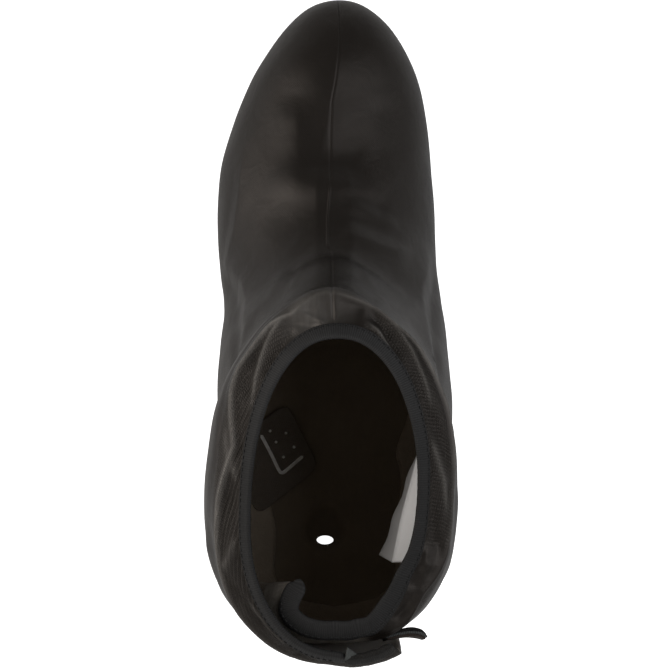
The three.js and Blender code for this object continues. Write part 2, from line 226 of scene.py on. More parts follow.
# Creases of the band between the collar's fold and the binding, laid flat: millimetres round from the front
# seam, and up from the fold.
band_creases = (
    # height, flat, left, right, peaked, points
    (0.9, 0, 1.8, 1.8, 0.7, ((-3, 15), (-9, 8), (-16, 0))),
    (-0.9, 0, 2, 2, 0.2, ((-8, 15), (-14, 8), (-21, 1))),
    (1.1, 0, 2, 2.2, 0.8, ((-10, 1), (-24, 4), (-36, 9), (-50, 15))),
    (-1, 0, 2.4, 2.4, 0.2, ((-17, 0), (-32, 3.5), (-48, 9))),
    (-1, 0, 2.6, 2.2, 0.2, ((-14, 8), (-26, 12), (-36, 15))),
    (-1.3, 0, 2.6, 2.6, 0.2, ((12, 3), (20, 8), (30, 13))),
    (1, 0, 2, 2.2, 0.7, ((10, 8), (22, 13), (30, 16))),
    (0.9, 0, 2, 2.4, 0.7, ((18, 1), (32, 5), (50, 8))),
    (0.9, 0, 2, 2.6, 0.6, ((-52, 1), (-60, 7), (-64, 14))),
    (-0.9, 0, 2.4, 2.4, 0.2, ((-58, 1), (-66, 7), (-70, 14))),
    (0.8, 0, 2, 2.6, 0.6, ((-74, 13), (-82, 6), (-86, 0))),
    (-0.8, 0, 3, 2.4, 0.2, ((-88, 3), (-98, 7), (-112, 9))),
    (0.8, 0, 2, 2.4, 0.6, ((-94, 10), (-106, 12), (-122, 12))),
    (-0.9, 0, 2.4, 2.4, 0.2, ((44, 12), (54, 6), (62, 0))),
    (0.9, 0, 2, 2.4, 0.6, ((52, 13), (62, 7), (72, 2))),
    (-0.9, 0, 2.6, 2.4, 0.2, ((66, 12), (76, 7), (84, 0))),
    (0.9, 0, 2, 2.4, 0.6, ((76, 13), (88, 8), (98, 6))),
    (-0.9, 0, 2.6, 2.4, 0.2, ((90, 3), (100, 6), (112, 9))),
    (0.8, 0, 2, 2.2, 0.6, ((96, 1), (108, 4), (122, 5))),
)
band_strength = 1.4
band_round = 45
band_high = 16
# Creases on a side: y, z of each point. side: +1 is the inner side and -1 the outer one.
side_creases = (
    # side, height, flat, left, right, peaked, points
    (-1, -1.6, 0, 6, 7, 0.2, ((118, 30), (108, 60), (88, 92), (60, 112))),
    (-1, 1.5, 0, 6, 8, 0.5, ((126, 36), (115, 66), (92, 101), (62, 122))),
    (-1, -1.7, 0, 5, 8, 0.2, ((-12, 40), (8, 62), (34, 72), (62, 66))),
    (-1, 1.2, 0, 7, 6, 0.5, ((-24, 52), (0, 76), (32, 86), (66, 80))),
    (-1, -1.3, 0, 5, 5, 0.2, ((-38, 95), (-16, 108), (14, 116))),
    (-1, 1, 0, 5, 5, 0.6, ((-40, 122), (-20, 133), (4, 137))),
    (-1, -1, 0, 5, 5, 0.3, ((-34, 134), (-14, 144), (12, 147))),
    (1, -1.7, 0, 6, 7, 0.2, ((122, 34), (106, 62), (84, 88), (56, 104))),
    (1, 1.4, 0, 6, 8, 0.5, ((130, 42), (112, 72), (88, 98), (58, 116))),
    (1, -1.5, 0, 6, 8, 0.2, ((-14, 36), (10, 56), (36, 64), (60, 60))),
    (1, 1.1, 0, 6, 6, 0.5, ((-30, 60), (-4, 78), (26, 84), (56, 78))),
    (1, -1.2, 0, 5, 5, 0.2, ((-36, 104), (-10, 118), (20, 122))),
    (1, 0.9, 0, 5, 5, 0.5, ((-28, 130), (0, 139), (26, 141))),
)
# Creases on the back: x, z of each point.
back_creases = (
    # height, flat, left, right, peaked, points
    (-1.7, 0, 6, 5, 0.2, ((-34, 34), (-12, 44), (12, 45), (32, 36))),
    (1.2, 0, 6, 6, 0.4, ((-36, 50), (-12, 58), (12, 59), (34, 50))),
    (-1.4, 0, 6, 5, 0.2, ((-38, 74), (-16, 84), (8, 84))),
    (1, 0, 5, 5, 0.5, ((-36, 92), (-8, 100), (20, 97))),
)


def along_line(points, flat):
    """For each point of a flat view: how far it is from a line, on which side, and at what share of it."""
    line = np.array(points, float)
    steps = np.diff(line, axis=0)
    lengths = np.linalg.norm(steps, axis=1)
    before = np.concatenate([[0], np.cumsum(lengths)[:-1]])
    best = np.full(flat.shape[:-1], np.inf)
    side = np.zeros_like(best)
    share = np.zeros_like(best)
    for start, step, size, walked in zip(line, steps, lengths, before):
        way = flat - start
        t = np.clip((way @ step) / size**2, 0, 1)
        apart = way - t[..., None] * step
        distance = np.linalg.norm(apart, axis=-1)
        nearer = distance < best
        best = np.where(nearer, distance, best)
        side = np.where(nearer, step[0] * apart[..., 1] - step[1] * apart[..., 0], side)
        share = np.where(nearer, (walked + t * size) / lengths.sum(), share)
    return best, side, share


crease_fade = 0.25
peak_steepness = 1.6


def crease(height, flat, left, right, peaked, points, view):
    distance, side, share = along_line(points, view)
    beyond = np.maximum(distance - flat, 0) / np.where(side > 0, left, right)
    crest = peaked * np.exp(-peak_steepness * beyond) + (1 - peaked) * np.exp(-(beyond**2))
    return height * crest * smooth(share / crease_fade) * smooth((1 - share) / crease_fade)


slow_wave = 0.45
quick_wave = 0.1


def soft_waves(point):
    """The cloth's uneven lie: a few slow waves that cross each other."""
    x, y, z = np.moveaxis(point, -1, 0)
    slow = np.sin(x / 11 + y / 19 + 1) * np.sin(y / 15 - z / 21)
    slow += 0.7 * np.sin(z / 13 - y / 27 + 2) * np.sin(x / 17)
    quick = np.sin(x / 4.1 + z / 6.3 + 0.6) * np.sin(y / 5.3 - z / 7.7 + 1.9)
    return slow_wave * slow + quick_wave * quick


# Where the front seam runs, seen from above: y from the rim to the toe, and x
seam_y = (90, 112, 121, 127, 140, 152, 161, 185, 200, 210, 222, 236, 253)
seam_x = (-0.9, -1.3, -1.6, -3.4, -3.6, -2.9, -2.2, -2.2, -1.6, 0.3, 1.9, 2.2, 2)


def seam_shift(station):
    """Where the front seam runs, as an angle from the middle of the top."""
    step = 0.01  # radians
    middle = surface(station, 0.0)
    beside = surface(station, step)
    turn = step / np.maximum(beside[..., 0] - middle[..., 0], 0.05)
    return (np.interp(middle[..., 1], seam_y, seam_x) - middle[..., 0]) * turn * smooth(station / 0.5)


front_from = 85
facing_least = 0.15
facing_blend = 0.4
calm_rim = 1.2
calm_foot = 18
calm_lap = 0.75
lap_calm_from = 2.1


def facing(share):
    """How much of a side's creases a place takes, by how squarely it faces that side."""
    return smooth((share - facing_least) / facing_blend)


def fold_offset(station, angle, point, normal):
    """How far the fabric stands out from the smooth form."""
    facing_up = smooth((normal[..., 2] + 0.05) / 0.3) * smooth((point[..., 2] - 12) / 20)
    front = np.where(point[..., 1] > front_from, 1, facing_up)
    total = soft_waves(point)
    from_above = point[..., :2]
    for *shape, points in top_creases:
        total += front * crease(*shape, points, from_above)
    from_side = point[..., 1:]
    for which, *shape, points in side_creases:
        total += facing(which * normal[..., 0]) * crease(*shape, points, from_side)
    from_back = point[..., ::2]
    for *shape, points in back_creases:
        total += facing(-normal[..., 1]) * crease(*shape, points, from_back)
    in_lap = smooth((station - slit_station) / 0.8) * smooth((np.abs(angle) - lap_calm_from) / 0.4)
    lively = smooth((last_station - station) / calm_rim) * smooth((point[..., 2] - sole_base) / calm_foot)
    lively = lively * (1 - calm_lap * in_lap)
    return total * lively + collar_offset(station, angle) + seam_offset(station, angle, point[..., 1])


# How far the collar's fold strays from its ring, in stations, and how crisp it is, by the angle from the
# front
fold_angles = (
    -2.6, -2.2, -1.9, -1.5, -1.25, -1, -0.85, -0.5, -0.32, 0, 0.5, 0.8, 1.05, 1.25, 1.6, 2.1, 2.4, 2.8,
)
fold_strays = (0.1, 0, 0, 0.25, 0.5, 0.12, 0, 0.1, 0.22, 0, 0.05, -0.1, -0.25, -0.15, 0, 0.35, 0.25, 0)
fold_crispness = (0.3, 0.2, 0.5, 1, 1, 1, 1, 1, 0.8, 0.1, 0.7, 1, 1, 0.8, 0.1, 0.8, 0.6, 0.1)


fold_wander = 0.03
fold_waves = 13


def fold_line(angle):
    """The station of the collar's sharp fold, which wanders a little."""
    strays = np.interp(angle, fold_angles, fold_strays)
    return ridge_station + strays + fold_wander * np.sin(fold_waves * angle + 2 * np.sin(2 * angle))


def fold_sharpness(angle):
    return np.interp(angle, fold_angles, fold_crispness)


def on_band(station, angle):
    """Places on the band above the fold, laid flat."""
    return np.stack([angle * band_round, (station - ridge_station) * band_high], axis=-1)


def bell(share):
    return np.exp(-(share**2))


# Painted highlight: a pale colour along the collar's fold, on the band's crests and at the collar's front
highlight_fold_width = 0.075
highlight_least = 0.2
highlight_front_at = -0.22
highlight_front_width = 0.2
highlight_front_from = 14.7
highlight_front = 0.5
highlight_crest = 0.75


def fold_highlight_places(station, angle):
    """Where a painted highlight lightens the coating: along the fold, on the band's crests and at the collar's
    front.
    """
    strength = highlight_least + (1 - highlight_least) * fold_sharpness(angle)
    fold = bell((station - fold_line(angle)) / highlight_fold_width) * strength
    flat = on_band(station, angle)
    crests = sum(crease(*shape, points, flat) for *shape, points in band_creases if shape[0] > 0)
    at_front = bell((angle - highlight_front_at) / highlight_front_width)
    front = highlight_front * at_front * smooth((station - highlight_front_from) / 0.5)
    return np.maximum(np.maximum(fold, front), highlight_crest * np.clip(crests, 0, 1) ** 2)


fold_least = 0.3
fold_high = 0.9
fold_width = 0.07
under_fold = 0.7
under_fold_at = 0.45
under_fold_width = 0.25
gather_size = 0.35
wide_gathers = 31
fine_gathers = 47
band_sunk = 1


def collar_offset(station, angle):
    """The sharp fold below the rim, and the gathers between it and the binding."""
    ridge = fold_line(angle)
    high = fold_least + fold_high * fold_sharpness(angle)
    crest = high * np.exp(-np.abs(station - ridge) / fold_width)
    under = -under_fold * bell((station - ridge + under_fold_at) / under_fold_width)
    band = smooth((station - ridge) / 0.22) * smooth((last_station - station) / 0.25)
    gather = np.sin(wide_gathers * angle + 2.2 * np.sin(5 * angle))
    gather += 0.7 * np.sin(fine_gathers * angle + 3 * np.sin(3 * angle + 1))
    bunched = 0.55 + 0.4 * np.sin(4 * angle + 0.5)
    flat = on_band(station, angle)
    creased = band_strength * sum(crease(*shape, points, flat) for *shape, points in band_creases)
    return crest + under + band * (gather_size * bunched * gather + creased - band_sunk)


seam_ridge_from = 124
seam_ridge_to = 160
seam_ridge = 0.65
seam_ridge_blend = 3
seam_lip = 0.06
seam_lip_at = 1.2
seam_lip_width = 0.7
seam_groove = 0.24
seam_collar_groove = 0.35
seam_half = 0.4
seam_round = 48  # millimetres to the radian


def seam_offset(station, angle, y):
    """The front seam: a fine groove, and for a stretch on the instep a fine raised fold."""
    x = (angle - seam_shift(station)) * seam_round
    begun = smooth((y - seam_ridge_from) / seam_ridge_blend)
    raised = begun * smooth((seam_ridge_to - y) / seam_ridge_blend)
    lips = seam_lip * bell((np.abs(x) - seam_lip_at) / seam_lip_width)
    deep = seam_groove + seam_collar_groove * smooth((station - ridge_station + 0.5) / 0.4)
    line = (seam_ridge * raised - deep) * bell(x / seam_half)
    runs = smooth((ridge_station + 0.8 - station) / 0.3)
    return runs * (lips + line)


# The lap at the back

def lap_opening(station):
    return smooth((station - slit_station) / (0.8 * (last_station - slit_station)))


# How far the inner layer of the lap is drawn in, in millimetres, by the angle past the back's middle, and
# how far its free end curls in besides
underlap_angles = (-1.35, -0.9, -0.5, -0.2, 0.1, 0.5, 0.8, 1)
underlap_dips = (0, 3, 6.4, 9, 9, 5.6, 3.6, 5.6)
underlap_curl = 12
curl_from = 0.2
layer_gap = 0.5


def underlap_offset(station, angle):
    under = smooth((angle - (math.pi - lap_turn)) / (lap_turn - flap_turn - 0.1))
    start = np.maximum(smooth((station - slit_station) / 0.6), smooth((angle - math.pi) / 0.06))
    curl = np.clip((angle - math.pi - curl_from) / (underlap_turn - curl_from), 0, 1) ** 5
    dip = np.interp(angle - math.pi, underlap_angles, underlap_dips) + underlap_curl * curl
    return -(wall + layer_gap) * under * start - dip * lap_opening(station)


# How far the rim is drawn in, in millimetres, by the angle from the front
drawn_angles = (-3.6, -2.8, -2.2, -1.5, -1, 0, 0.8, 1.3, 1.7, 2, 2.3, 2.7, 3.1, 4.2)
drawn_in = (0, 0.5, 1.4, 2, 1.6, 0.8, 1.6, 2.6, 4.6, 6.6, 5.4, 1.5, 0.5, 0)
side_drawn = 2.2
side_drawn_at = 1.8
side_drawn_width = 0.45
side_drawn_from = 11.5
back_drawn = 1.5
back_drawn_width = 0.5
back_drawn_from = 13


def drawn(station, angle):
    """How far the collar is drawn in towards the opening's middle: at the rim, and below the fold."""
    rim = np.interp(angle, drawn_angles, drawn_in) * smooth((station - ridge_station + 0.15) / 1.15)
    at_side = bell((angle - side_drawn_at) / side_drawn_width)
    side = side_drawn * at_side * smooth((station - side_drawn_from) / 2)
    at_back = bell((np.abs(angle) - math.pi) / back_drawn_width)
    back = back_drawn * at_back * smooth((station - back_drawn_from) / 1.5)
    return rim + side + back * (angle < 0)


flap_lift = 0.4
flap_over = 1.2


def flap_offset(station, angle):
    start = np.maximum(smooth((station - slit_station) / 0.45), smooth((-angle - math.pi) / 0.15))
    lapped = smooth((-angle - math.pi + 0.1) / 0.2)
    return start * (flap_lift * smooth((-angle - math.pi + underlap_turn) / 0.5) + flap_over * lapped)


def fabric(station, angle, lap):
    """Points and normals of the fabric's outer face. lap: whether the ends of the collar overlap there."""
    base = surface(station, angle)
    normal = surface_normal(station, angle)
    offset = fold_offset(station, angle, base, normal)
    outwards = -drawn(station, angle)
    if lap:
        inner_layer = underlap_offset(station, angle)
        outer_layer = flap_offset(station, angle)
        outwards = outwards + np.where(angle > 0, inner_layer, outer_layer)
    level = unit(normal * np.array([1, 1, 0]))
    return base + normal * offset[..., None] + level * outwards[..., None], normal


# Making meshes

def new_object(name, points, faces, corner_uv=None, marks=None):
    """A piece from points in millimetres. marks: a name for each set of values, one value to a point."""
    mesh = bpy.data.meshes.new(name)
    mesh.from_pydata((np.asarray(points) * mm).tolist(), [], faces)
    if corner_uv is not None:
        layer = mesh.uv_layers.new(name="cloth")
        layer.data.foreach_set("uv", (np.asarray(corner_uv, np.float32) * mm).reshape(-1))
    for mark, values in (marks or {}).items():
        attribute = mesh.attributes.new(mark, "FLOAT", "POINT")
        attribute.data.foreach_set("value", np.asarray(values, np.float32).reshape(-1))
    mesh.shade_smooth()
    piece = bpy.data.objects.new(name, mesh)
    bpy.context.scene.collection.objects.link(piece)
    return piece


def apply_modifiers(piece):
    bpy.context.view_layer.update()
    evaluated = piece.evaluated_get(bpy.context.evaluated_depsgraph_get())
    mesh = bpy.data.meshes.new_from_object(evaluated)
    piece.modifiers.clear()
    piece.data = mesh


weld_distance = 0.002


def welded(points, faces):
    """Joins points that coincide. Gives the one kept for each place, and faces as pairs: places, corners."""
    keys = np.round(points / weld_distance).astype(np.int64)
    _, kept, place = np.unique(keys, axis=0, return_index=True, return_inverse=True)
    place = place.reshape(-1).tolist()
    pairs = []
    for face in faces:
        corners = [corner for k, corner in enumerate(face) if place[corner] != place[face[k - 1]]]
        if len(corners) > 2:
            pairs.append(([place[corner] for corner in corners], corners))
    return kept, pairs


def layered(name, front, back, faces, uv, marks=None):
    """A closed piece between two sheets of points. Material 0 is on the front and edges, 1 on the back."""
    kept, pairs = welded(front, faces)
    count = len(kept)
    polygons = [places for places, _ in pairs]
    corners = [corner for _, used in pairs for corner in used]
    backs = [[place + count for place in reversed(places)] for places, _ in pairs]
    back_corners = [corner for _, used in pairs for corner in reversed(used)]
    sides = {}
    for places, used in pairs:
        for k, place in enumerate(places):
            sides[places[k - 1], place] = (used[k - 1], used[k])
    rim = []
    rim_corners = []
    for (a, b), (first, second) in sides.items():
        if (b, a) not in sides:
            rim.append([b, a, a + count, b + count])
            rim_corners += [second, first, first, second]
    both = np.concatenate([front[kept], back[kept]])
    corner_uv = np.asarray(uv)[corners + rim_corners + back_corners]
    on_both = {mark: np.tile(np.asarray(values)[kept], 2) for mark, values in (marks or {}).items()}
    piece = new_object(name, both, polygons + rim + backs, corner_uv, on_both)
    materials = np.repeat([0, 1], [len(polygons) + len(rim), len(backs)])
    piece.data.materials.append(None)
    piece.data.materials.append(None)
    piece.data.polygons.foreach_set("material_index", materials.astype(np.int32))
    return piece


def closed_mesh(name, points, faces, uv, marks):
    """A piece whose sheet of points already closes on itself."""
    kept, pairs = welded(points, faces)
    kept_marks = {mark: np.asarray(values)[kept] for mark, values in marks.items()}
    corners = [corner for _, used in pairs for corner in used]
    polygons = [places for places, _ in pairs]
    return new_object(name, points[kept], polygons, np.asarray(uv)[corners], kept_marks)


def grid_faces(high, wide, first=0):
    corners = np.arange(first, first + high * wide).reshape(high, wide)
    order = (corners[:-1, :-1], corners[1:, :-1], corners[1:, 1:], corners[:-1, 1:])
    return np.stack(order, axis=-1).reshape(-1, 4).tolist()


def grid_normals(points):
    down = np.gradient(points, axis=0)
    along = np.gradient(points, axis=1)
    return unit(np.cross(along, down))


def arc_lengths(points, axis):
    steps = np.linalg.norm(np.diff(points, axis=axis), axis=-1)
    pad = [(0, 0), (0, 0)]
    pad[axis] = (1, 0)
    return np.cumsum(np.pad(steps, pad), axis=axis)


def cloth_uv(points, front_column):
    """Flat coordinates of a grid of points: across from the front seam, and along its front line."""
    across = arc_lengths(points, 1)
    across = across - across[:, front_column:front_column + 1]
    along = arc_lengths(points, 0)[:, front_column:front_column + 1] + np.zeros_like(across)
    return np.stack([across, along], axis=-1)


def dress(piece, slot_name, *materials):
    slots = piece.data.materials
    for index, material in enumerate(materials):
        if index < len(slots):
            slots[index] = material
        else:
            slots.append(material)
    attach(piece, "root")


# Upper

around_steps = 216
turn_step = 2 * math.pi / around_steps
lap_columns = round(underlap_turn / turn_step)
flap_columns = round(flap_turn / turn_step)
# How far the free ends' lower edges reach below the slit: the outer one in rows, the inner in millimetres
flap_below = 2.5
underlap_below = 3
# The outer face of the inner layer is brushed from this angle before the back's middle
loop_from = 0.3
# Angles between which the twill of the hem fades out at the front and comes back
plain_front_angles = (-0.6, -0.3, 0.2, 0.45)
seam_columns = np.array([-0.037, -0.029, -0.0225, -0.017, -0.0125, -0.009, -0.006, -0.003])


def ring_angles():
    """Angles round a section: closer on top than underneath, and close beside the front seam."""
    share = np.arange(2, around_steps // 2 + 1) / (around_steps // 2)
    half = math.pi * (0.8 * share + 0.2 * share**3)
    return np.concatenate([-half[::-1], seam_columns, [0], -seam_columns[::-1], half])


def ring_stations():
    toe = (np.arange(20) / 20) ** 2
    foot = np.linspace(1, 7, 86)[:-1]
    shaft = np.linspace(7, slit_station, 36)
    return np.concatenate([[tip_station], toe[1:], foot, shaft])


fold_rows_reach = 0.45


def collar_stations():
    """Stations from the slit to the rim, close together across the sharp fold."""
    below = np.linspace(slit_station, ridge_station - fold_rows_reach, 20)[:-1]
    fold = np.linspace(ridge_station - fold_rows_reach, ridge_station + fold_rows_reach, 26)[:-1]
    band = np.linspace(ridge_station + fold_rows_reach, last_station, 12)
    return np.concatenate([below, fold, band])


def lower_edge(station):
    """The angle at which a section meets the fabric's lower edge, or half a turn where it stays above it."""
    angles = np.linspace(0.5 * math.pi, math.pi, 500)
    ring = surface(station[:, None], angles[None, :])
    above = ring[..., 2] - (sole_base + rise(ring[..., 1]) + upper_edge)
    below = above < 0
    first = np.argmax(below, axis=1)
    met = below.any(axis=1)
    return np.where(met, angles[first], math.pi)


def follow_seam(station, angle):
    """Shifts the columns beside the front seam onto it."""
    return angle + seam_shift(station) * np.exp(-((angle / 0.35) ** 2))


def make_upper(outer_fabric, lining):
    angles = ring_angles()
    stations = ring_stations()
    edge = lower_edge(stations)
    share = angles / math.pi
    ring_angle = np.sign(share) * np.abs(share) * edge[:, None]
    ring_station = np.broadcast_to(stations[:, None], ring_angle.shape)
    ring_angle = follow_seam(ring_station, ring_angle)
    foot, foot_out = fabric(ring_station, ring_angle, False)
    foot[0] = foot[0].mean(axis=0)

    inner_end = angles[-1] + turn_step * np.arange(1, lap_columns + 1)
    outer_end = angles[0] - turn_step * np.arange(1, flap_columns + 1)[::-1]
    collar_angles = np.concatenate([outer_end, angles, inner_end])
    grid_station, grid_angle = np.meshgrid(collar_stations(), collar_angles, indexing="ij")
    grid_angle = follow_seam(grid_station, grid_angle)
    collar, collar_out = fabric(grid_station, grid_angle, True)
    collar[0, :flap_columns] += (collar[0, :flap_columns] - collar[1, :flap_columns]) * flap_below
    collar[0, -lap_columns:, 2] -= underlap_below

    front_in_ring = int(np.argmin(np.abs(angles)))
    foot_uv = cloth_uv(foot, front_in_ring)
    collar_uv = cloth_uv(collar, front_in_ring + flap_columns)
    collar_uv[..., 1] += foot_uv[-1, front_in_ring, 1]
    outside = smooth((math.pi - lap_turn - grid_angle) / 0.15)
    hem = smooth((grid_station - ridge_station + 0.05) / 0.1) * outside
    hem = hem * np.interp(grid_angle, plain_front_angles, (1, 0.05, 0.05, 1))
    # The fold mark carries the painted highlight of the fold, the band's crests and the collar's front
    fold = outside * fold_highlight_places(grid_station, grid_angle)
    loop = smooth((grid_angle - math.pi + loop_from) / 0.08)
    front = np.concatenate([foot.reshape(-1, 3), collar.reshape(-1, 3)])
    out = np.concatenate([foot_out.reshape(-1, 3), collar_out.reshape(-1, 3)])
    in_ring = foot.shape[0] * foot.shape[1]
    faces = grid_faces(*foot.shape[:2]) + grid_faces(*collar.shape[:2], first=in_ring)
    uv = np.concatenate([foot_uv.reshape(-1, 2), collar_uv.reshape(-1, 2)])
    marks = {
        name: np.concatenate([np.zeros(in_ring), values.reshape(-1)])
        for name, values in (("hem", hem), ("fold", fold), ("loop", loop))
    }
    upper = layered("upper_fabric", front, front - out * wall, faces, uv, marks)
    dress(upper, "coated_fabric", outer_fabric, lining)
    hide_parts("upper")


# Binding of the rim

binding_proud = 0.7
end_round = 3.4
tape_swell = 0.12
rib_thick = 0.03
rib_pitch = 1.05
tape_middle = 3.2
tape_bulge = 0.12
# How far past the fabric's edge the points on the tape's outer side lie
tape_past = (-0.9, 0.4, 2.2, 4.2, 6)

# How far the tape leans in from upright, in degrees, by the angle from the front
lean_angles = (-3.6, -2.6, -1.5, -0.8, 0, 0.8, 1.5, 2, 2.4, 4.2)
leans = (24, 22, 24, 30, 38, 32, 26, 42, 64, 70)


def rim_frame(angle):
    """The fabric's edge at the rim, the way that the tape stands on it and the way out of the shaft."""
    station = np.full_like(angle, float(last_station))
    edge, normal = fabric(station, angle, True)
    step = 0.03
    along = fabric(station, angle + step, True)[0] - fabric(station, angle - step, True)[0]
    inward = unit(np.cross(np.array([0, 0, 1.0]), along * np.array([-1, -1, 0])))
    inward = inward * np.sign(-(inward * normal).sum(axis=-1, keepdims=True))
    lean = np.radians(np.interp(angle, lean_angles, leans))[:, None]
    upward = np.array([0, 0, 1.0])
    return edge, np.cos(lean) * upward + np.sin(lean) * inward, np.sin(lean) * upward - np.cos(lean) * inward


def tape_outline():
    """The folded tape's section, as pairs of the way along the slope and the way out, once round."""
    swell = [tape_bulge * math.sin(past / binding_width * math.pi) for past in tape_past]
    outer = [(past, binding_proud + more) for past, more in zip(tape_past, swell)]
    middle = -wall / 2
    half = binding_proud + wall / 2
    turn = [
        (6.6 + 1.5 * math.sin(a), middle + half * math.cos(a))
        for a in np.linspace(0.35, math.pi - 0.35, 7)
    ]
    inner = [(past, 2 * middle - out) for past, out in reversed(outer)]
    return np.array([(-1.1, 0.1), *outer, *turn, *inner, (-1.1, -wall - 0.1)])


def rim_strip(name, start, end, count, grow, crumple):
    """A folded strip over the rim from one angle to another, with rounded ends."""
    outline = tape_outline()
    angle = np.linspace(start, end, count)
    edge, slope, out = rim_frame(angle)
    walked = arc_lengths(edge[:, None, :], 0)[:, 0]
    to_end = np.minimum(walked, walked[-1] - walked) / end_round
    rounded = np.sqrt(1 - (1 - np.clip(to_end, 0.02, 1)) ** 2)[:, None]
    ribs = np.sin(walked * 2 * math.pi / rib_pitch)[:, None]
    swell = (tape_swell * np.sin(walked / 7) * np.sin(walked / 11 + 1))[:, None]
    creased = crumple * np.sin(walked / 1.9 + 1)[:, None] * np.sin(walked / 3.1)[:, None]
    high = tape_middle + (outline[:, 0] - tape_middle) * rounded * (1 + grow / 4) + swell + creased
    thick = 1 + rib_thick * ribs + grow
    wide = -wall / 2 + (outline[:, 1] + wall / 2) * rounded * thick + creased * 0.7
    points = edge[:, None, :] + slope[:, None, :] * high[..., None] + out[:, None, :] * wide[..., None]
    closed = np.concatenate([points, points[:, :1]], axis=1)
    across = arc_lengths(closed, 1)
    uv = np.stack([np.broadcast_to(walked[:, None], across.shape), across], axis=-1)
    wide_count = len(outline)
    faces = grid_faces(count, wide_count + 1)
    first = list(range(wide_count))
    last = [(count - 1) * (wide_count + 1) + i for i in range(wide_count)]
    faces += [first, last[::-1]]
    # Lighter towards the front: the pale mark carries a painted highlight
    pale = np.broadcast_to(smooth((np.cos(angle) - 0.1) / 0.8)[:, None], across.shape)
    return closed_mesh(name, closed.reshape(-1, 3), faces, uv.reshape(-1, 2), {"pale": pale.reshape(-1)})


tape_stop = -math.pi - 0.02
tape_start = math.pi + underlap_turn + 0.02
lap_stop = -math.pi - flap_turn - 0.02


def make_binding(tape):
    binding = rim_strip("collar_binding_tape", tape_start, tape_stop, 860, 0, 0)
    dress(binding, "binding_tape", tape)
    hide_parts("collar_binding")


def make_lap_end(cloth):
    """The cloth edge of the outer layer, past the end of the tape."""
    lap_end = rim_strip("lap_end_edge", tape_stop + 0.03, lap_stop, 120, 0.05, 0.45)
    dress(lap_end, "coated_fabric", cloth)


# The folded end of the tape, from its foot: along the rim and in towards the opening
tape_end_corners = ((0, -2), (0, 4.2), (5, 1.2))
tape_end_lift = 5.2
tape_end_droop = 1.6
tape_end_half_thick = 0.35


def make_tape_end(tape):
    """The cut end of the tape, folded over into a small triangle."""
    angle = np.array([tape_stop + 0.02, tape_stop - 0.08])
    edge, slope, out = rim_frame(angle)
    way = unit((edge[1] - edge[0]) * np.array([1, 1, 0]))
    inward = unit(out[0] * np.array([-1, -1, 0]))
    foot = edge[0] + slope[0] * (tape_middle + tape_end_lift)
    corners = np.array([foot + way * along + inward * across for along, across in tape_end_corners])
    steps = np.linspace(0, 1, 9)
    shares = [(1 - u, u * (1 - v), u * v) for u in steps for v in steps]
    points = np.array([sum(w * c for w, c in zip(share, corners)) for share in shares])
    droop = np.array([tape_end_droop * c * c + 0.25 * math.sin(5 * a + 3 * b) for a, b, c in shares])
    points = points - np.array([0, 0, 1]) * droop[:, None]
    thick = np.array([0, 0, tape_end_half_thick])
    flat = np.stack([points @ way, points @ inward], axis=-1)
    faces = grid_faces(len(steps), len(steps))
    piece = layered("tape_end_fold", points + thick, points - thick, faces, flat)
    dress(piece, "binding_tape", tape, tape)


# Threads

thread_sides = 6
stitch_sink = 0.35


def thread_marks(name, centres, ways, outs, material, long, radius):
    """One mesh of short stitches: a little arched rod at each centre."""
    bend = np.linspace(-0.5, 0.5, 7)
    turns = np.linspace(0, 2 * math.pi, thread_sides, endpoint=False)
    side = unit(np.cross(ways, outs))
    points = []
    faces = []
    for centre, way, out, across in zip(centres, ways, outs, side):
        first = len(points)
        for share in bend:
            spine = centre + way * share * long + out * (radius - stitch_sink * (2 * share) ** 4)
            thin = radius * math.sqrt(max(0.04, 1 - (2 * abs(share)) ** 6))
            points.extend(spine + thin * (math.cos(t) * across + math.sin(t) * out) for t in turns)
        for i in range(len(bend) - 1):
            for j in range(thread_sides):
                a = first + i * thread_sides + j
                b = first + i * thread_sides + (j + 1) % thread_sides
                faces.append((a, a + thread_sides, b + thread_sides, b))
        faces.append(tuple(first + j for j in range(thread_sides)))
        end = first + (len(bend) - 1) * thread_sides
        faces.append(tuple(end + j for j in reversed(range(thread_sides))))
    stitches = new_object(name, np.array(points), faces)
    dress(stitches, "binding_tape", material)


def interp_rows(at, known_at, known):
    return np.stack([np.interp(at, known_at, known[:, k]) for k in range(3)], axis=-1)


def stitch_line(name, line, outs, pitch, material, long, radius):
    """Stitches at an even pitch along a line of points, given the way out at each point."""
    steps = np.linalg.norm(np.diff(line, axis=0), axis=1)
    walked = np.concatenate([[0], np.cumsum(steps)])
    at = np.arange(0, walked[-1] - pitch, pitch)
    centres = interp_rows(at, walked, line)
    ahead = interp_rows(at + 0.5, walked, line)
    out = unit(interp_rows(at / walked[-1], np.linspace(0, 1, len(line)), outs))
    thread_marks(name, centres, unit(ahead - centres), out, material, long, radius)


def make_rim_stitches(thread):
    angle = np.linspace(tape_start - 0.12, tape_stop + 0.05, 700)
    edge, slope, out = rim_frame(angle)
    line = edge + slope * 0.6 + out * (binding_proud + 0.02)
    stitch_line("rim_stitches", line, out, 2.7, thread, long=1.9, radius=0.26)


def make_inner_stitches(thread):
    """The pale stitches that show on the inner face of the outer layer, beside the end of the tape."""
    angle = np.linspace(-math.pi + 0.62, -math.pi + 0.05, 120)
    edge, slope, out = rim_frame(angle)
    line = edge - out * (wall + 1) + slope * 1.5
    stitch_line("inner_stitches", line, slope, 2.2, thread, long=1.8, radius=0.3)


# Outsole

sole_stations = np.concatenate([np.linspace(0.06, 1, 60) ** 2, np.linspace(1, 10, 150)[1:]])
recess_middle = np.array([-5, -8])
recess_reach = np.array([11, 13])
recess_depth = 1.2
recess_blend = 0.35
recess_under = 20


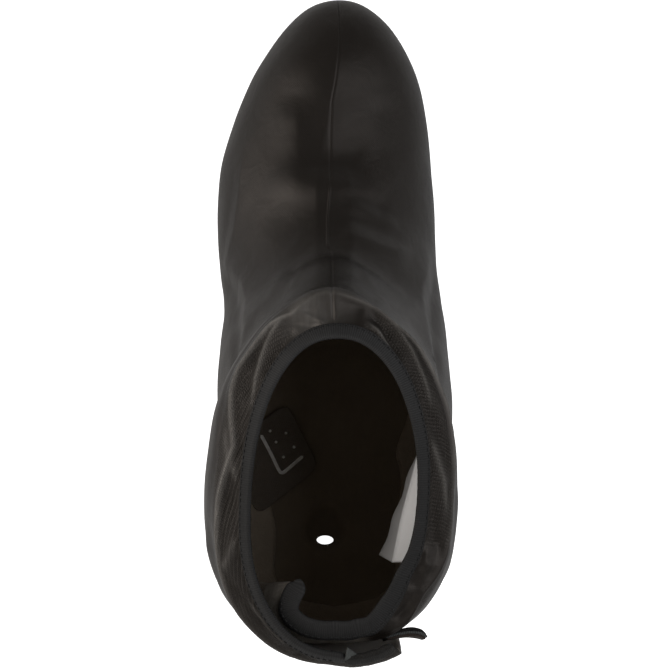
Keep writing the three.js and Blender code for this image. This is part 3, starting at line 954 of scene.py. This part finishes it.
def sole_sheet():
    """The outsole's inner face: points, and the way out at each, where the form is below the sole's edge."""
    angles = np.linspace(0.45 * math.pi, math.pi, 500)
    ring = surface(sole_stations[:, None], angles[None, :])
    ring = ring + surface_normal(sole_stations[:, None], angles[None, :]) * clearance
    below = ring[..., 2] < sole_edge + rise(ring[..., 1])
    low = below.any(axis=1)
    edge = angles[np.argmax(below[low], axis=1)]
    share = np.linspace(-1, 1, 71)
    angle = math.pi + share[None, :] * (math.pi - edge[:, None])
    station = np.broadcast_to(sole_stations[low][:, None], angle.shape)
    out = surface_normal(station, angle)
    return surface(station, angle) + out * clearance, out


def make_outsole(rubber, floor_rubber):
    inner, out = sole_sheet()
    near_drain = np.linalg.norm((inner[..., :2] - recess_middle) / recess_reach, axis=-1)
    low = smooth((recess_under - inner[..., 2]) / 5)
    recess = recess_depth * smooth((1 - near_drain) / recess_blend) * low
    outer = inner + out * sole_thickness
    inner = inner + out * recess[..., None]
    uv = cloth_uv(outer, outer.shape[1] // 2).reshape(-1, 2)
    faces = grid_faces(*outer.shape[:2])
    # The recess mark also darkens the inner sole round the drain: painted shade
    marks = {"recess": recess.reshape(-1) / recess_depth}
    sole = layered("outsole_shell", outer.reshape(-1, 3), inner.reshape(-1, 3), faces, uv, marks)
    cut_drain(sole)
    dress(sole, "outsole_rubber", rubber, floor_rubber)
    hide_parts("outsole")


drain_middle = np.array([-5, 40.5 - heel_behind, 0])
drain_half = np.array([8.4, 4.6]) / 2


def cut_drain(sole):
    turns = np.linspace(0, 2 * math.pi, 40, endpoint=False)
    across, along = drain_half
    ring = np.stack([np.cos(turns) * across, np.sin(turns) * along, np.zeros_like(turns)], axis=-1)
    points = np.concatenate([ring + drain_middle + (0, 0, z) for z in (-10, 30)])
    count = len(turns)
    faces = [(i, (i + 1) % count, count + (i + 1) % count, count + i) for i in range(count)]
    faces += [tuple(reversed(range(count))), tuple(range(count, 2 * count))]
    cutter = new_object("drain_cutter", points, faces)
    cut = sole.modifiers.new("drain", "BOOLEAN")
    cut.operation = "DIFFERENCE"
    cut.solver = "EXACT"
    cut.object = cutter
    apply_modifiers(sole)
    bpy.data.objects.remove(cutter)


bar_first = 6
bar_width = 8
bar_pitch = 15
tread_to = 0.93
bar_side_height = 2.6
bar_round = 0.5
bar_sunk = 0.6
bar_steps = 31


def bar_lines(tree, y):
    """Points on the underside of the sole along a line across it, as far out as the bars go."""
    def from_below(x):
        return tree.ray_cast(Vector((x, y, -20)), Vector((0, 0, 1)))[0]

    wide = np.linspace(-60, 60, 481)
    hits = [from_below(x) for x in wide]
    lowest = min(hit.z for hit in hits if hit is not None)
    highest = max(sole_base - sole_thickness + bar_side_height + float(rise(y)), lowest + 1)
    reached = [x for x, hit in zip(wide, hits) if hit is not None and hit.z < highest]
    across = np.linspace(reached[0], reached[-1], bar_steps)
    return np.array([(x, y, from_below(x).z + bar_sunk) for x in across])


def make_tread(rubber):
    """Bars across the outsole, under the heel and from the ball to the toe. Each has a level underside."""
    inner, out = sole_sheet()
    outer = inner + out * sole_thickness
    tree = BVHTree.FromPolygons(outer.reshape(-1, 3).tolist(), grid_faces(*outer.shape[:2]))
    to_end = np.abs(np.linspace(-1, 1, bar_steps))
    end_lift = bar_round * smooth((to_end - 0.96) / 0.04)
    lift = np.array([bar_round, 0, 0, 0, bar_round])
    fronts = []
    backs = []
    faces = []
    for start in np.arange(bar_first, tread_to * length - bar_width, bar_pitch):
        if arch_from * length < start < arch_to * length:
            continue
        low = start - heel_behind
        lines_y = (low, low + bar_round, low + bar_width / 2, low + bar_width - bar_round, low + bar_width)
        top = np.stack([bar_lines(tree, y) for y in lines_y])
        bottom = top.copy()
        bottom[..., 2] = rise(top[..., 1]) + lift[:, None] + end_lift[None, :]
        faces += grid_faces(*bottom.shape[:2], first=sum(len(f) for f in fronts))
        fronts.append(bottom.reshape(-1, 3))
        backs.append(top.reshape(-1, 3))
    front = np.concatenate(fronts)
    tread = layered("sole_tread", front, np.concatenate(backs), faces, front[:, :2])
    cut_drain(tread)
    dress(tread, "outsole_rubber", rubber, rubber)


# Care label, a bare folded ribbon that hangs from the binding on the inner side

label_sewn = np.array([(48.2, 37.4, 151.5), (33.4, -11.6, 148.5)], float)
label_fold = np.array([(37.4, 40, 150), (25.3, -12, 147)], float)
label_free = np.array([(38, 39.6, 130.4), (20.3, -10.3, 128)], float)
label_flat = (53.5, 31)
label_thick = 0.25
label_turn = 0.5
label_wave = np.array([0.35, 0, 0.5])
label_ripple = np.array([0.5, 0, 0])


def make_label(ribbon):
    along = np.linspace(0, 1, 48)
    edges = (label_sewn, label_fold, label_free)
    sewn, fold, free = (ends[0] + (ends[1] - ends[0]) * along[:, None] for ends in edges)
    wave = np.sin(along * 6 + 1)[:, None] * label_wave
    ripple = np.sin(along * 17)[:, None] * label_ripple
    outer_ply = [sewn + (fold - sewn) * t + wave * t for t in np.linspace(0, 0.93, 12)]
    bend = unit(unit(sewn - fold) + unit(free - fold)) * -label_turn
    crest = [fold + wave + bend]
    shaded_inner_ply = [fold + (free - fold) * t + wave * (1 - t) + ripple * t for t in np.linspace(0.05, 1, 14)]
    points = np.stack(outer_ply + crest + shaded_inner_ply)
    down = np.linspace(0, label_flat[1], len(points))
    uv = np.stack(np.broadcast_arrays(along * label_flat[0], down[:, None]), axis=-1)
    # The hanging inner ply is painted grey as painted shade; the outer ply is white
    ply = np.repeat([0.0, 1.0], [len(outer_ply) * len(along), (1 + len(shaded_inner_ply)) * len(along)])
    out = grid_normals(points) * label_thick / 2
    front = (points + out).reshape(-1, 3)
    back = (points - out).reshape(-1, 3)
    faces = grid_faces(*points.shape[:2])
    label = layered("care_label", front, back, faces, uv.reshape(-1, 2), {"shaded_inner_ply": ply})
    dress(label, "coated_fabric", ribbon, ribbon)


# Hook tab, a webbing strip with a loose inner ply

tab_rise = 20
tab_ply_thick = 1.5
tab_tip_round = 5
tab_tip_narrower = 0.35
tab_shift = -1.7
tab_plies = (
    # painted light of the cloth (0 painted shadow, 0.5 grey hook band, 1 painted floor light), how far the
    # lower edge stands off, then x, y and z of the points along the top edge
    (0.0, 3.4,
     (23, 28.4, 33.4, 37.6, 40.6), (-43, -41.4, -40.4, -41.1, -43), (154.2, 154.8, 155, 155, 154.7)),
    (0.5, 2.8,
     (22, 28.4, 33.4, 37.8, 41.2), (-44.3, -42.8, -42, -42.5, -43.9), (154, 154.5, 154.7, 154.8, 154.8)),
    (1.0, 3,
     (23, 28.4, 33.4, 37.8, 40.4), (-45, -43.9, -43.3, -43.7, -44.7), (153.6, 154, 154.1, 154.2, 154.2)),
)


def spline(points, count):
    """Points at even steps of a smooth line through the given ones."""
    line = np.array(points, float)
    ends = np.concatenate([[2 * line[0] - line[1]], line, [2 * line[-1] - line[-2]]])
    at = np.linspace(0, len(line) - 1, count)
    i = np.minimum(at.astype(int), len(line) - 2)
    f = (at - i)[:, None]
    a, b, c, d = (ends[i + k] for k in range(4))
    return spline_step(a, b, c, d, f)


def make_tab(webbing):
    fronts = []
    backs = []
    faces = []
    uvs = []
    painted_ply_lights = []
    for painted_ply_light, lean, *line in tab_plies:
        top = spline(np.stack(line, axis=-1), 40)
        walked = arc_lengths(top[:, None, :], 0)[:, 0]
        to_tip = np.clip((walked[-1] - walked) / tab_tip_round, 0, 1)
        half = 0.5 * (1 - tab_tip_narrower * (1 - to_tip) ** 2)
        down = np.linspace(0, 1, 16)
        level = 0.5 + (down[:, None] - 0.5) * 2 * half[None, :]
        middle = top[None, :, :] + level[..., None] * np.array([tab_shift, -lean, -tab_rise])
        out = grid_normals(middle)
        edge = 1 - 0.25 * np.abs(2 * down[:, None] - 1) ** 8 - 0.35 * (1 - to_tip[None, :]) ** 3
        thick = (tab_ply_thick / 2 * edge)[..., None]
        faces += grid_faces(*middle.shape[:2], first=sum(len(f) for f in fronts))
        fronts.append((middle - out * thick).reshape(-1, 3))
        backs.append((middle + out * thick).reshape(-1, 3))
        uvs.append(np.stack(np.broadcast_arrays(walked, down[:, None] * tab_rise), axis=-1).reshape(-1, 2))
        painted_ply_lights.append(np.full(middle.shape[0] * middle.shape[1], painted_ply_light))
    front, back, uv, painted_ply_light = (np.concatenate(parts) for parts in (fronts, backs, uvs, painted_ply_lights))
    tab = layered("hook_tab_webbing", front, back, faces, uv, {"painted_ply_light": painted_ply_light})
    dress(tab, "tab_webbing", webbing, webbing)
    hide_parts("hook_tab")


# Inner patch with a pale border line, laid on the lining of the outer side

photo_size = 670
focal = 2597
eye = np.array([0, 89, 1300], float)
patch_corners = np.array([(258, 516), (319.5, 467), (287, 402), (225, 449)], float)
border_line = ((261, 435), (271, 454), (278.5, 469.5), (281.8, 472.6), (286, 470.5), (303, 456))
border_dots = ((270, 431), (286, 433), (276, 442), (294, 447), (283.5, 457))


def sight(pixel):
    """The way from the camera through a place of the photograph."""
    across = (pixel[..., 0] - photo_size / 2) / focal
    up = (photo_size / 2 - pixel[..., 1]) / focal
    return unit(np.stack([across, up, np.full_like(across, -1)], axis=-1))


def on_lining(tree, pixel, lift):
    ways = sight(np.asarray(pixel, float))
    flat = ways.reshape(-1, 3)
    found = []
    for way in flat:
        hit, normal, _, _ = tree.ray_cast(Vector(eye), Vector(way))
        found.append(np.array(hit) - way * lift)
    return np.array(found).reshape(ways.shape)


def lining_tree():
    """The inner faces of the foot part and of the sole, without the shaft above them."""
    stations = np.linspace(1, 10.5, 90)
    angles = np.linspace(math.pi / 2, 3 * math.pi / 2, 120)
    station, angle = np.meshgrid(stations, angles, indexing="ij")
    base = surface(station, angle)
    points = base - surface_normal(station, angle) * wall
    points[..., 2] = np.maximum(points[..., 2], base[..., 2].min() + wall)
    return BVHTree.FromPolygons(points.reshape(-1, 3).tolist(), grid_faces(*points.shape[:2]))


def smoothed(grid, rounds=6):
    for _ in range(rounds):
        grid[1:-1] = (grid[:-2] + 2 * grid[1:-1] + grid[2:]) / 4
        grid[:, 1:-1] = (grid[:, :-2] + 2 * grid[:, 1:-1] + grid[:, 2:]) / 4
    return grid


patch_half_thick = 0.4
patch_lift = 1.2
patch_side = 30
corner_pull = 0.09


def make_patch(patch_cloth, border_ink):
    tree = lining_tree()
    u, v = np.meshgrid(np.linspace(0, 1, 40), np.linspace(0, 1, 44), indexing="ij")
    a, b, c, d = patch_corners
    u = u[..., None]
    v = v[..., None]
    pull = (np.abs(2 * u - 1) ** 8) * (np.abs(2 * v - 1) ** 8)
    pixels = (a * (1 - u) + b * u) * (1 - v) + (d * (1 - u) + c * u) * v
    centre = patch_corners.mean(axis=0)
    pixels = pixels + (centre - pixels) * corner_pull * pull
    middle = smoothed(on_lining(tree, pixels, patch_lift))
    out = grid_normals(middle)
    out = np.where(out[..., 2:] < 0, -out, out)
    faces = grid_faces(*middle.shape[:2])
    uv = np.stack([u[..., 0], v[..., 0]], axis=-1).reshape(-1, 2) * patch_side
    top = (middle + out * patch_half_thick).reshape(-1, 3)
    patch = layered("inner_patch", top, (middle - out * patch_half_thick).reshape(-1, 3), faces, uv)
    dress(patch, "coated_fabric", patch_cloth, patch_cloth)
    make_border(BVHTree.FromPolygons(top.tolist(), faces), border_ink)


border_width = 1.7
border_proud = 0.14
border_sunk = 0.2


def make_border(tree, ink):
    pixels = spline([(x, y, 0) for x, y in border_line], 90)[:, :2]
    line = on_lining(tree, pixels, 0.15)
    way = unit(np.gradient(line, axis=0))
    across = unit(np.cross(way, np.array([0, 0, 1.0])))
    walked = arc_lengths(line[:, None, :], 0)[:, 0]
    to_end = np.minimum(walked, walked[-1] - walked)
    half = border_width / 2 * np.sqrt(1 - (1 - np.clip(to_end / (border_width / 2), 0.05, 1)) ** 2)
    spread = np.linspace(-1, 1, 5)
    sheet = line[:, None, :] + across[:, None, :] * (half[:, None] * spread[None, :])[..., None]
    top = (sheet + (0, 0, border_proud)).reshape(-1, 3)
    bottom = (sheet - (0, 0, border_sunk)).reshape(-1, 3)
    uv = np.stack(np.broadcast_arrays(walked[:, None], spread[None, :]), axis=-1)
    border = layered("patch_border_line", top, bottom, grid_faces(*sheet.shape[:2]), uv.reshape(-1, 2))
    dress(border, "coated_fabric", ink, ink)
    make_dots(on_lining(tree, np.array(border_dots, float), 0.1), ink)


dot_sides = 16
dot_rings = ((0.75, 0), (0.6, 0.3))  # radius and height of the foot and of the top


def make_dots(dots, ink):
    turns = np.linspace(0, 2 * math.pi, dot_sides, endpoint=False)
    points = []
    faces = []
    for dot in dots:
        foot = range(len(points), len(points) + dot_sides)
        top = range(foot.stop, foot.stop + dot_sides)
        for radius, high in dot_rings:
            points += [dot + (math.cos(t) * radius, math.sin(t) * radius, high) for t in turns]
        for i in range(dot_sides):
            after = (i + 1) % dot_sides
            faces.append((foot[i], foot[after], top[after], top[i]))
        faces += [tuple(reversed(foot)), tuple(top)]
    studs = new_object("patch_dots", np.array(points), faces)
    dress(studs, "coated_fabric", ink)


# Materials

def material(name):
    made = bpy.data.materials.new(name)
    made.use_nodes = True
    tree = made.node_tree
    return made, tree, tree.nodes["Principled BSDF"]


def node(tree, kind, values=None, **settings):
    made = tree.nodes.new(kind)
    for key, value in settings.items():
        setattr(made, key, value)
    for key, value in (values or {}).items():
        made.inputs[key].default_value = value
    return made


def link(tree, source, target):
    tree.links.new(source, target)


def new_group(name, inputs, outputs):
    group = bpy.data.node_groups.new(name, "ShaderNodeTree")
    for label, kind, default in inputs:
        socket = group.interface.new_socket(name=label, in_out="INPUT", socket_type=kind)
        if default is not None:
            socket.default_value = default
    for label, kind in outputs:
        group.interface.new_socket(name=label, in_out="OUTPUT", socket_type=kind)
    enter = group.nodes.new("NodeGroupInput")
    leave = group.nodes.new("NodeGroupOutput")
    return group, enter, leave


def place_group(tree, group, place, **values):
    made = tree.nodes.new("ShaderNodeGroup")
    made.node_tree = group
    link(tree, place, made.inputs["Vector"])
    for key, value in values.items():
        made.inputs[key.replace("_", " ")].default_value = value
    return made


def math_node(tree, operation, first, second=None, third=None):
    made = tree.nodes.new("ShaderNodeMath")
    made.operation = operation
    for index, value in enumerate((first, second, third)):
        if value is None:
            continue
        if isinstance(value, (int, float)):
            made.inputs[index].default_value = value
        else:
            link(tree, value, made.inputs[index])
    return made.outputs[0]


def times(tree, first, second):
    return math_node(tree, "MULTIPLY", first, second)


weave_crossing = 0.35


def woven_group():
    """A plain weave: the height of rounded threads that go over and under each other."""
    group, enter, leave = new_group(
        "weave",
        [("Vector", "NodeSocketVector", None), ("Threads per metre", "NodeSocketFloat", 1500.0)],
        [("Height", "NodeSocketFloat")],
    )
    scaled = node(group, "ShaderNodeVectorMath", operation="SCALE")
    link(group, enter.outputs["Vector"], scaled.inputs[0])
    link(group, enter.outputs["Threads per metre"], scaled.inputs["Scale"])
    parts = node(group, "ShaderNodeSeparateXYZ")
    link(group, scaled.outputs[0], parts.inputs[0])
    warp, weft = (math_node(group, "SINE", times(group, parts.outputs[axis], math.pi)) for axis in "XY")
    over = math_node(group, "MAXIMUM", *(math_node(group, "ABSOLUTE", thread) for thread in (warp, weft)))
    height = math_node(group, "MULTIPLY_ADD", times(group, warp, weft), weave_crossing, over)
    link(group, height, leave.inputs["Height"])
    return group


def rubbed_group():
    """Uneven wear of a coated cloth: cloudy patches and thin rubbed streaks, from 0 to 1."""
    group, enter, leave = new_group(
        "rubbed",
        [("Vector", "NodeSocketVector", None), ("Patch size", "NodeSocketFloat", 30.0)],
        [("Patches", "NodeSocketFloat"), ("Streaks", "NodeSocketFloat")],
    )
    patches = node(group, "ShaderNodeTexNoise", {"Detail": 4.0, "Roughness": 0.6})
    link(group, enter.outputs["Vector"], patches.inputs["Vector"])
    link(group, enter.outputs["Patch size"], patches.inputs["Scale"])
    stretched = node(group, "ShaderNodeMapping", {"Scale": (6.0, 1.0, 2.0)})
    link(group, enter.outputs["Vector"], stretched.inputs["Vector"])
    streaks = noise(group, stretched.outputs[0], 60.0, Detail=5.0, Roughness=0.7)
    link(group, patches.outputs["Fac"], leave.inputs["Patches"])
    link(group, streaks, leave.inputs["Streaks"])
    return group


def noise(tree, place, scale, **values):
    made = node(tree, "ShaderNodeTexNoise", {"Scale": scale, **values})
    link(tree, place, made.inputs["Vector"])
    return made.outputs["Fac"]


weave = woven_group()
rubbed = rubbed_group()


def object_place(tree):
    return node(tree, "ShaderNodeTexCoord").outputs["Object"]


def flat_place(tree):
    return node(tree, "ShaderNodeUVMap", uv_map="cloth").outputs[0]


def mark_share(tree, name):
    return node(tree, "ShaderNodeAttribute", attribute_name=name).outputs["Fac"]


def threads_of(tree, place, threads_per_metre):
    return place_group(tree, weave, place, Threads_per_metre=threads_per_metre).outputs["Height"]


def wear_of(tree, place, patch_size):
    worn = place_group(tree, rubbed, place, Patch_size=patch_size)
    return worn.outputs["Patches"], worn.outputs["Streaks"]


def laid_over(tree, share, under, over, clamp=True):
    """One colour laid over another by a share. Each is a socket or three numbers."""
    mixed = node(tree, "ShaderNodeMix", data_type="RGBA", clamp_factor=clamp)
    link(tree, share, mixed.inputs[0])
    for index, colour in ((6, under), (7, over)):
        if isinstance(colour, tuple):
            mixed.inputs[index].default_value = (*colour, 1)
        else:
            link(tree, colour, mixed.inputs[index])
    return mixed.outputs[2]


def paint(tree, shader, share, dark, light, clamp=True):
    """Base colour between a dark and a light one. Unclamped, a share above 1 goes past the light one."""
    link(tree, laid_over(tree, share, dark, light, clamp), shader.inputs["Base Color"])


def between(tree, share, low, high):
    return math_node(tree, "MULTIPLY_ADD", share, high - low, low)


def set_finish(shader, roughness, specular=0.5):
    shader.inputs["Roughness"].default_value = roughness
    shader.inputs["Specular IOR Level"].default_value = specular


def add_bump(tree, shader, height, distance, strength, under=None):
    bump = node(tree, "ShaderNodeBump", {"Strength": strength, "Distance": distance})
    link(tree, height, bump.inputs["Height"])
    if under is not None:
        link(tree, under, bump.inputs["Normal"])
    if shader is not None:
        link(tree, bump.outputs[0], shader.inputs["Normal"])
    return bump.outputs[0]


twill_slant = 0.6
twill_cover = 0.8


def coated_cloth():
    made, tree, shader = material("coated cloth")
    place = object_place(tree)
    flat = flat_place(tree)
    patches, streaks = wear_of(tree, place, 26.0)
    slanted = node(tree, "ShaderNodeMapping", {"Rotation": (0, 0, twill_slant)})
    link(tree, flat, slanted.inputs["Vector"])
    twill = threads_of(tree, slanted.outputs[0], 1050.0)
    hem = mark_share(tree, "hem")
    creased = noise(tree, place, 95.0, Detail=3.0, Roughness=0.5, Distortion=0.6)
    plain = laid_over(tree, patches, (0.0078, 0.0066, 0.0057), (0.0122, 0.0106, 0.0093))
    twilled = laid_over(tree, twill, (0.005, 0.0043, 0.0037), (0.023, 0.0205, 0.018))
    hemmed = laid_over(tree, times(tree, hem, twill_cover), plain, twilled)
    # Painted highlight: the fold mark lays a pale colour over the cloth, broken up by the streaks
    worn = times(tree, mark_share(tree, "fold"), between(tree, streaks, 0.2, 1.0))
    with_highlight = laid_over(tree, worn, hemmed, (0.21, 0.2, 0.187))
    brushed = laid_over(tree, creased, (0.07, 0.064, 0.056), (0.16, 0.147, 0.13))
    paint(tree, shader, mark_share(tree, "loop"), with_highlight, brushed)
    set_finish(shader, 0.35, 0.3)
    link(tree, between(tree, streaks, 0.27, 0.43), shader.inputs["Roughness"])
    shader.inputs["Specular Tint"].default_value = (1, 0.9, 0.83, 1)
    crumpled = add_bump(tree, None, creased, 0.0009, 0.35)
    ridged = add_bump(tree, None, times(tree, twill, hem), 0.00035, 0.8, crumpled)
    add_bump(tree, shader, threads_of(tree, flat, 1900.0), 0.0001, 0.45, ridged)
    return made


def lining_cloth():
    made, tree, shader = material("brushed lining")
    place = object_place(tree)
    cloudy = noise(tree, place, 40.0, Detail=5.0, Roughness=0.65)
    # Painted light: a light brown that stands in for light reaching the inside of the shaft
    paint(tree, shader, cloudy, (0.19, 0.156, 0.12), (0.38, 0.32, 0.25))
    link(tree, between(tree, cloudy, 0.6, 0.85), shader.inputs["Roughness"])
    shader.inputs["Sheen Weight"].default_value = 0.15
    add_bump(tree, shader, noise(tree, place, 900.0, Detail=2.0), 0.0004, 0.6)
    return made


def ribbed_tape():
    made, tree, shader = material("ribbed elastic tape")
    flat = flat_place(tree)
    parts = node(tree, "ShaderNodeSeparateXYZ")
    link(tree, flat, parts.inputs[0])
    turns_per_metre = 2 * math.pi / (rib_pitch * mm)
    ribs = between(tree, math_node(tree, "SINE", times(tree, parts.outputs["X"], turns_per_metre)), 0.7, 1.0)
    cloudy = between(tree, noise(tree, flat, 90.0, Detail=4.0), 0.6, 1.3)
    # Painted highlight: the pale mark lightens the tape towards the front
    front_painted_highlight = between(tree, mark_share(tree, "pale"), 1.0, 1.9)
    shade = times(tree, times(tree, ribs, cloudy), front_painted_highlight)
    paint(tree, shader, shade, (0.007, 0.0068, 0.0066), (0.0225, 0.0222, 0.0224), clamp=False)
    set_finish(shader, 0.7, 0.2)
    ribbed = add_bump(tree, None, ribs, 0.00028, 0.5)
    add_bump(tree, shader, threads_of(tree, flat, 1600.0), 0.0001, 0.5, ribbed)
    return made


def raw_edge_cloth():
    made, tree, shader = material("raw cloth edge")
    flat = flat_place(tree)
    threads = threads_of(tree, flat, 1100.0)
    _, streaks = wear_of(tree, flat, 120.0)
    paint(tree, shader, times(tree, streaks, threads), (0.006, 0.0055, 0.005), (0.028, 0.0265, 0.0245))
    set_finish(shader, 0.75, 0.15)
    add_bump(tree, shader, threads, 0.00025, 0.7)
    return made


def pale_tape():
    made, tree, shader = material("worn tape end")
    threads = threads_of(tree, flat_place(tree), 1500.0)
    paint(tree, shader, threads, (0.012, 0.0138, 0.0126), (0.036, 0.04, 0.037))
    set_finish(shader, 0.6)
    add_bump(tree, shader, threads, 0.00015, 0.6)
    return made


def dark_rubber(name, dark, light, grain, recess_shade=0.0):
    made, tree, shader = material(name)
    place = object_place(tree)
    patches, streaks = wear_of(tree, place, 18.0)
    # Painted shade: darker colour in the recess round the drain
    recess_painted_shade = times(tree, mark_share(tree, "recess"), recess_shade)
    paint(tree, shader, recess_painted_shade, laid_over(tree, patches, dark, light), dark)
    link(tree, between(tree, streaks, 0.55, 0.85), shader.inputs["Roughness"])
    add_bump(tree, shader, noise(tree, place, grain, Detail=3.0), 0.0003, 0.5)
    return made


def thread_cloth(name, dark, light):
    made, tree, shader = material(name)
    twist = noise(tree, object_place(tree), 2500.0, Detail=1.0)
    paint(tree, shader, twist, dark, light)
    set_finish(shader, 0.6)
    add_bump(tree, shader, twist, 0.0001, 0.5)
    return made


def label_ribbon():
    made, tree, shader = material("label ribbon")
    # Painted shade: the hanging inner ply is painted grey, the outer ply white
    paint(tree, shader, mark_share(tree, "shaded_inner_ply"), (0.88, 0.88, 0.88), (0.36, 0.36, 0.36))
    set_finish(shader, 0.5)
    add_bump(tree, shader, threads_of(tree, flat_place(tree), 2600.0), 0.00008, 0.4)
    return made


def tab_cloth():
    """Webbing in three plies of painted light: 0 is dark as painted shadow, 0.5 is a grey hook band with light
    ribs and 1 is brown as painted light from the floor.
    """
    made, tree, shader = material("hook tab webbing")
    painted_ply_light = mark_share(tree, "painted_ply_light")
    ribs = threads_of(tree, flat_place(tree), 1300.0)
    lighter = times(tree, math_node(tree, "COMPARE", painted_ply_light, 0.5, 0.2), ribs)
    painted_shadow_and_hook_grey = laid_over(tree, lighter, (0.004, 0.0037, 0.0035), (0.07, 0.075, 0.075))
    painted_floor_light_brown = laid_over(tree, ribs, (0.014, 0.0105, 0.009), (0.034, 0.026, 0.021))
    # Ply 0 is painted shadow and ply 1 painted light from the floor; ply 0.5 is the grey hook band
    paint(tree, shader, math_node(tree, "GREATER_THAN", painted_ply_light, 0.75), painted_shadow_and_hook_grey, painted_floor_light_brown)
    set_finish(shader, 0.7, 0.2)
    add_bump(tree, shader, ribs, 0.0002, 0.6)
    return made


def patch_cloth():
    made, tree, shader = material("inner patch")
    flat = flat_place(tree)
    patches, _ = wear_of(tree, flat, 60.0)
    paint(tree, shader, patches, (0.1, 0.085, 0.068), (0.16, 0.135, 0.11))
    set_finish(shader, 0.6, 0.2)
    add_bump(tree, shader, threads_of(tree, flat, 1400.0), 0.00012, 0.5)
    return made


def border_print():
    made, tree, shader = material("pale border")
    uneven = noise(tree, object_place(tree), 700.0, Detail=2.0)
    paint(tree, shader, uneven, (0.6, 0.6, 0.57), (0.85, 0.85, 0.83))
    set_finish(shader, 0.5)
    add_bump(tree, shader, uneven, 0.0001, 0.3)
    return made


# Studio

camera_lens = 139.5
camera_sensor = 36


def add_camera():
    data = bpy.data.cameras.new("camera")
    data.lens = camera_lens
    data.sensor_width = camera_sensor
    camera = bpy.data.objects.new("camera", data)
    camera.location = eye * mm
    bpy.context.scene.collection.objects.link(camera)
    bpy.context.scene.camera = camera


lamp_target = np.array([0, 0.09, 0.05])


def add_softbox(name, location, size, power, colour):
    """A rectangular lamp aimed at the overshoe's middle. Place and size in metres, power in watts."""
    data = bpy.data.lights.new(name, "AREA")
    data.shape = "RECTANGLE"
    data.size, data.size_y = size
    data.energy = power
    data.color = colour
    lamp = bpy.data.objects.new(name, data)
    lamp.location = location
    x, y, z = np.array(location) - lamp_target
    lamp.rotation_euler = (math.atan2(math.hypot(x, y), z), 0, math.atan2(y, x) + math.pi / 2)
    bpy.context.scene.collection.objects.link(lamp)


floor_half = 2500
floor_low = -0.2
floor_glow = 0.12  # as the overshoe sees it
floor_seen = 1.2  # as the camera sees it


def add_floor():
    corners = [(x * floor_half, y * floor_half, floor_low) for x, y in ((-1, -1), (1, -1), (1, 1), (-1, 1))]
    floor = new_object("floor", corners, [(0, 1, 2, 3)])
    made, tree, shader = material("pale floor")
    paint(tree, shader, noise(tree, object_place(tree), 3.0), (0.5, 0.5, 0.5), (0.53, 0.53, 0.53))
    set_finish(shader, 0.9, 0.1)
    shader.inputs["Emission Color"].default_value = (1, 1, 1, 1)
    seen = node(tree, "ShaderNodeLightPath").outputs["Is Camera Ray"]
    link(tree, between(tree, seen, floor_glow, floor_seen), shader.inputs["Emission Strength"])
    floor.data.materials.append(made)


def add_studio():
    scene = bpy.context.scene
    scene.view_settings.view_transform = "Standard"
    world = bpy.data.worlds.new("studio")
    world.use_nodes = True
    background = world.node_tree.nodes["Background"]
    background.inputs["Color"].default_value = (1, 0.95, 0.9, 1)
    background.inputs["Strength"].default_value = 0.2
    scene.world = world
    add_floor()
    add_softbox("softbox_right", (1.0, 0.2, 1.1), (1.0, 1.5), 10, (0.95, 0.97, 1))
    add_softbox("softbox_left", (-1.2, 0.25, 0.55), (1.0, 1.6), 13, (1, 0.96, 0.92))
    add_softbox("softbox_back", (-0.1, -1.0, 1.0), (0.9, 0.6), 3, (1, 0.98, 0.96))


cloth = coated_cloth()
lining = lining_cloth()
tape = ribbed_tape()
rubber = dark_rubber("outsole rubber", (0.007, 0.007, 0.007), (0.016, 0.0155, 0.015), 1400.0)
# Inner sole: its light brown is painted light, standing in for light that reaches the floor inside the shaft
floor_rubber = dark_rubber("inner sole", (0.11, 0.086, 0.058), (0.21, 0.166, 0.117), 700.0, 0.75)
black_thread = thread_cloth("black thread", (0.002, 0.002, 0.002), (0.007, 0.007, 0.007))
pale_thread = thread_cloth("pale thread", (0.05, 0.05, 0.048), (0.14, 0.14, 0.135))

make_upper(cloth, lining)
make_binding(tape)
make_lap_end(raw_edge_cloth())
make_tape_end(pale_tape())
make_rim_stitches(black_thread)
make_inner_stitches(pale_thread)
make_outsole(rubber, floor_rubber)
make_tread(rubber)
make_label(label_ribbon())
make_tab(tab_cloth())
make_patch(patch_cloth(), border_print())

add_camera()
add_studio()
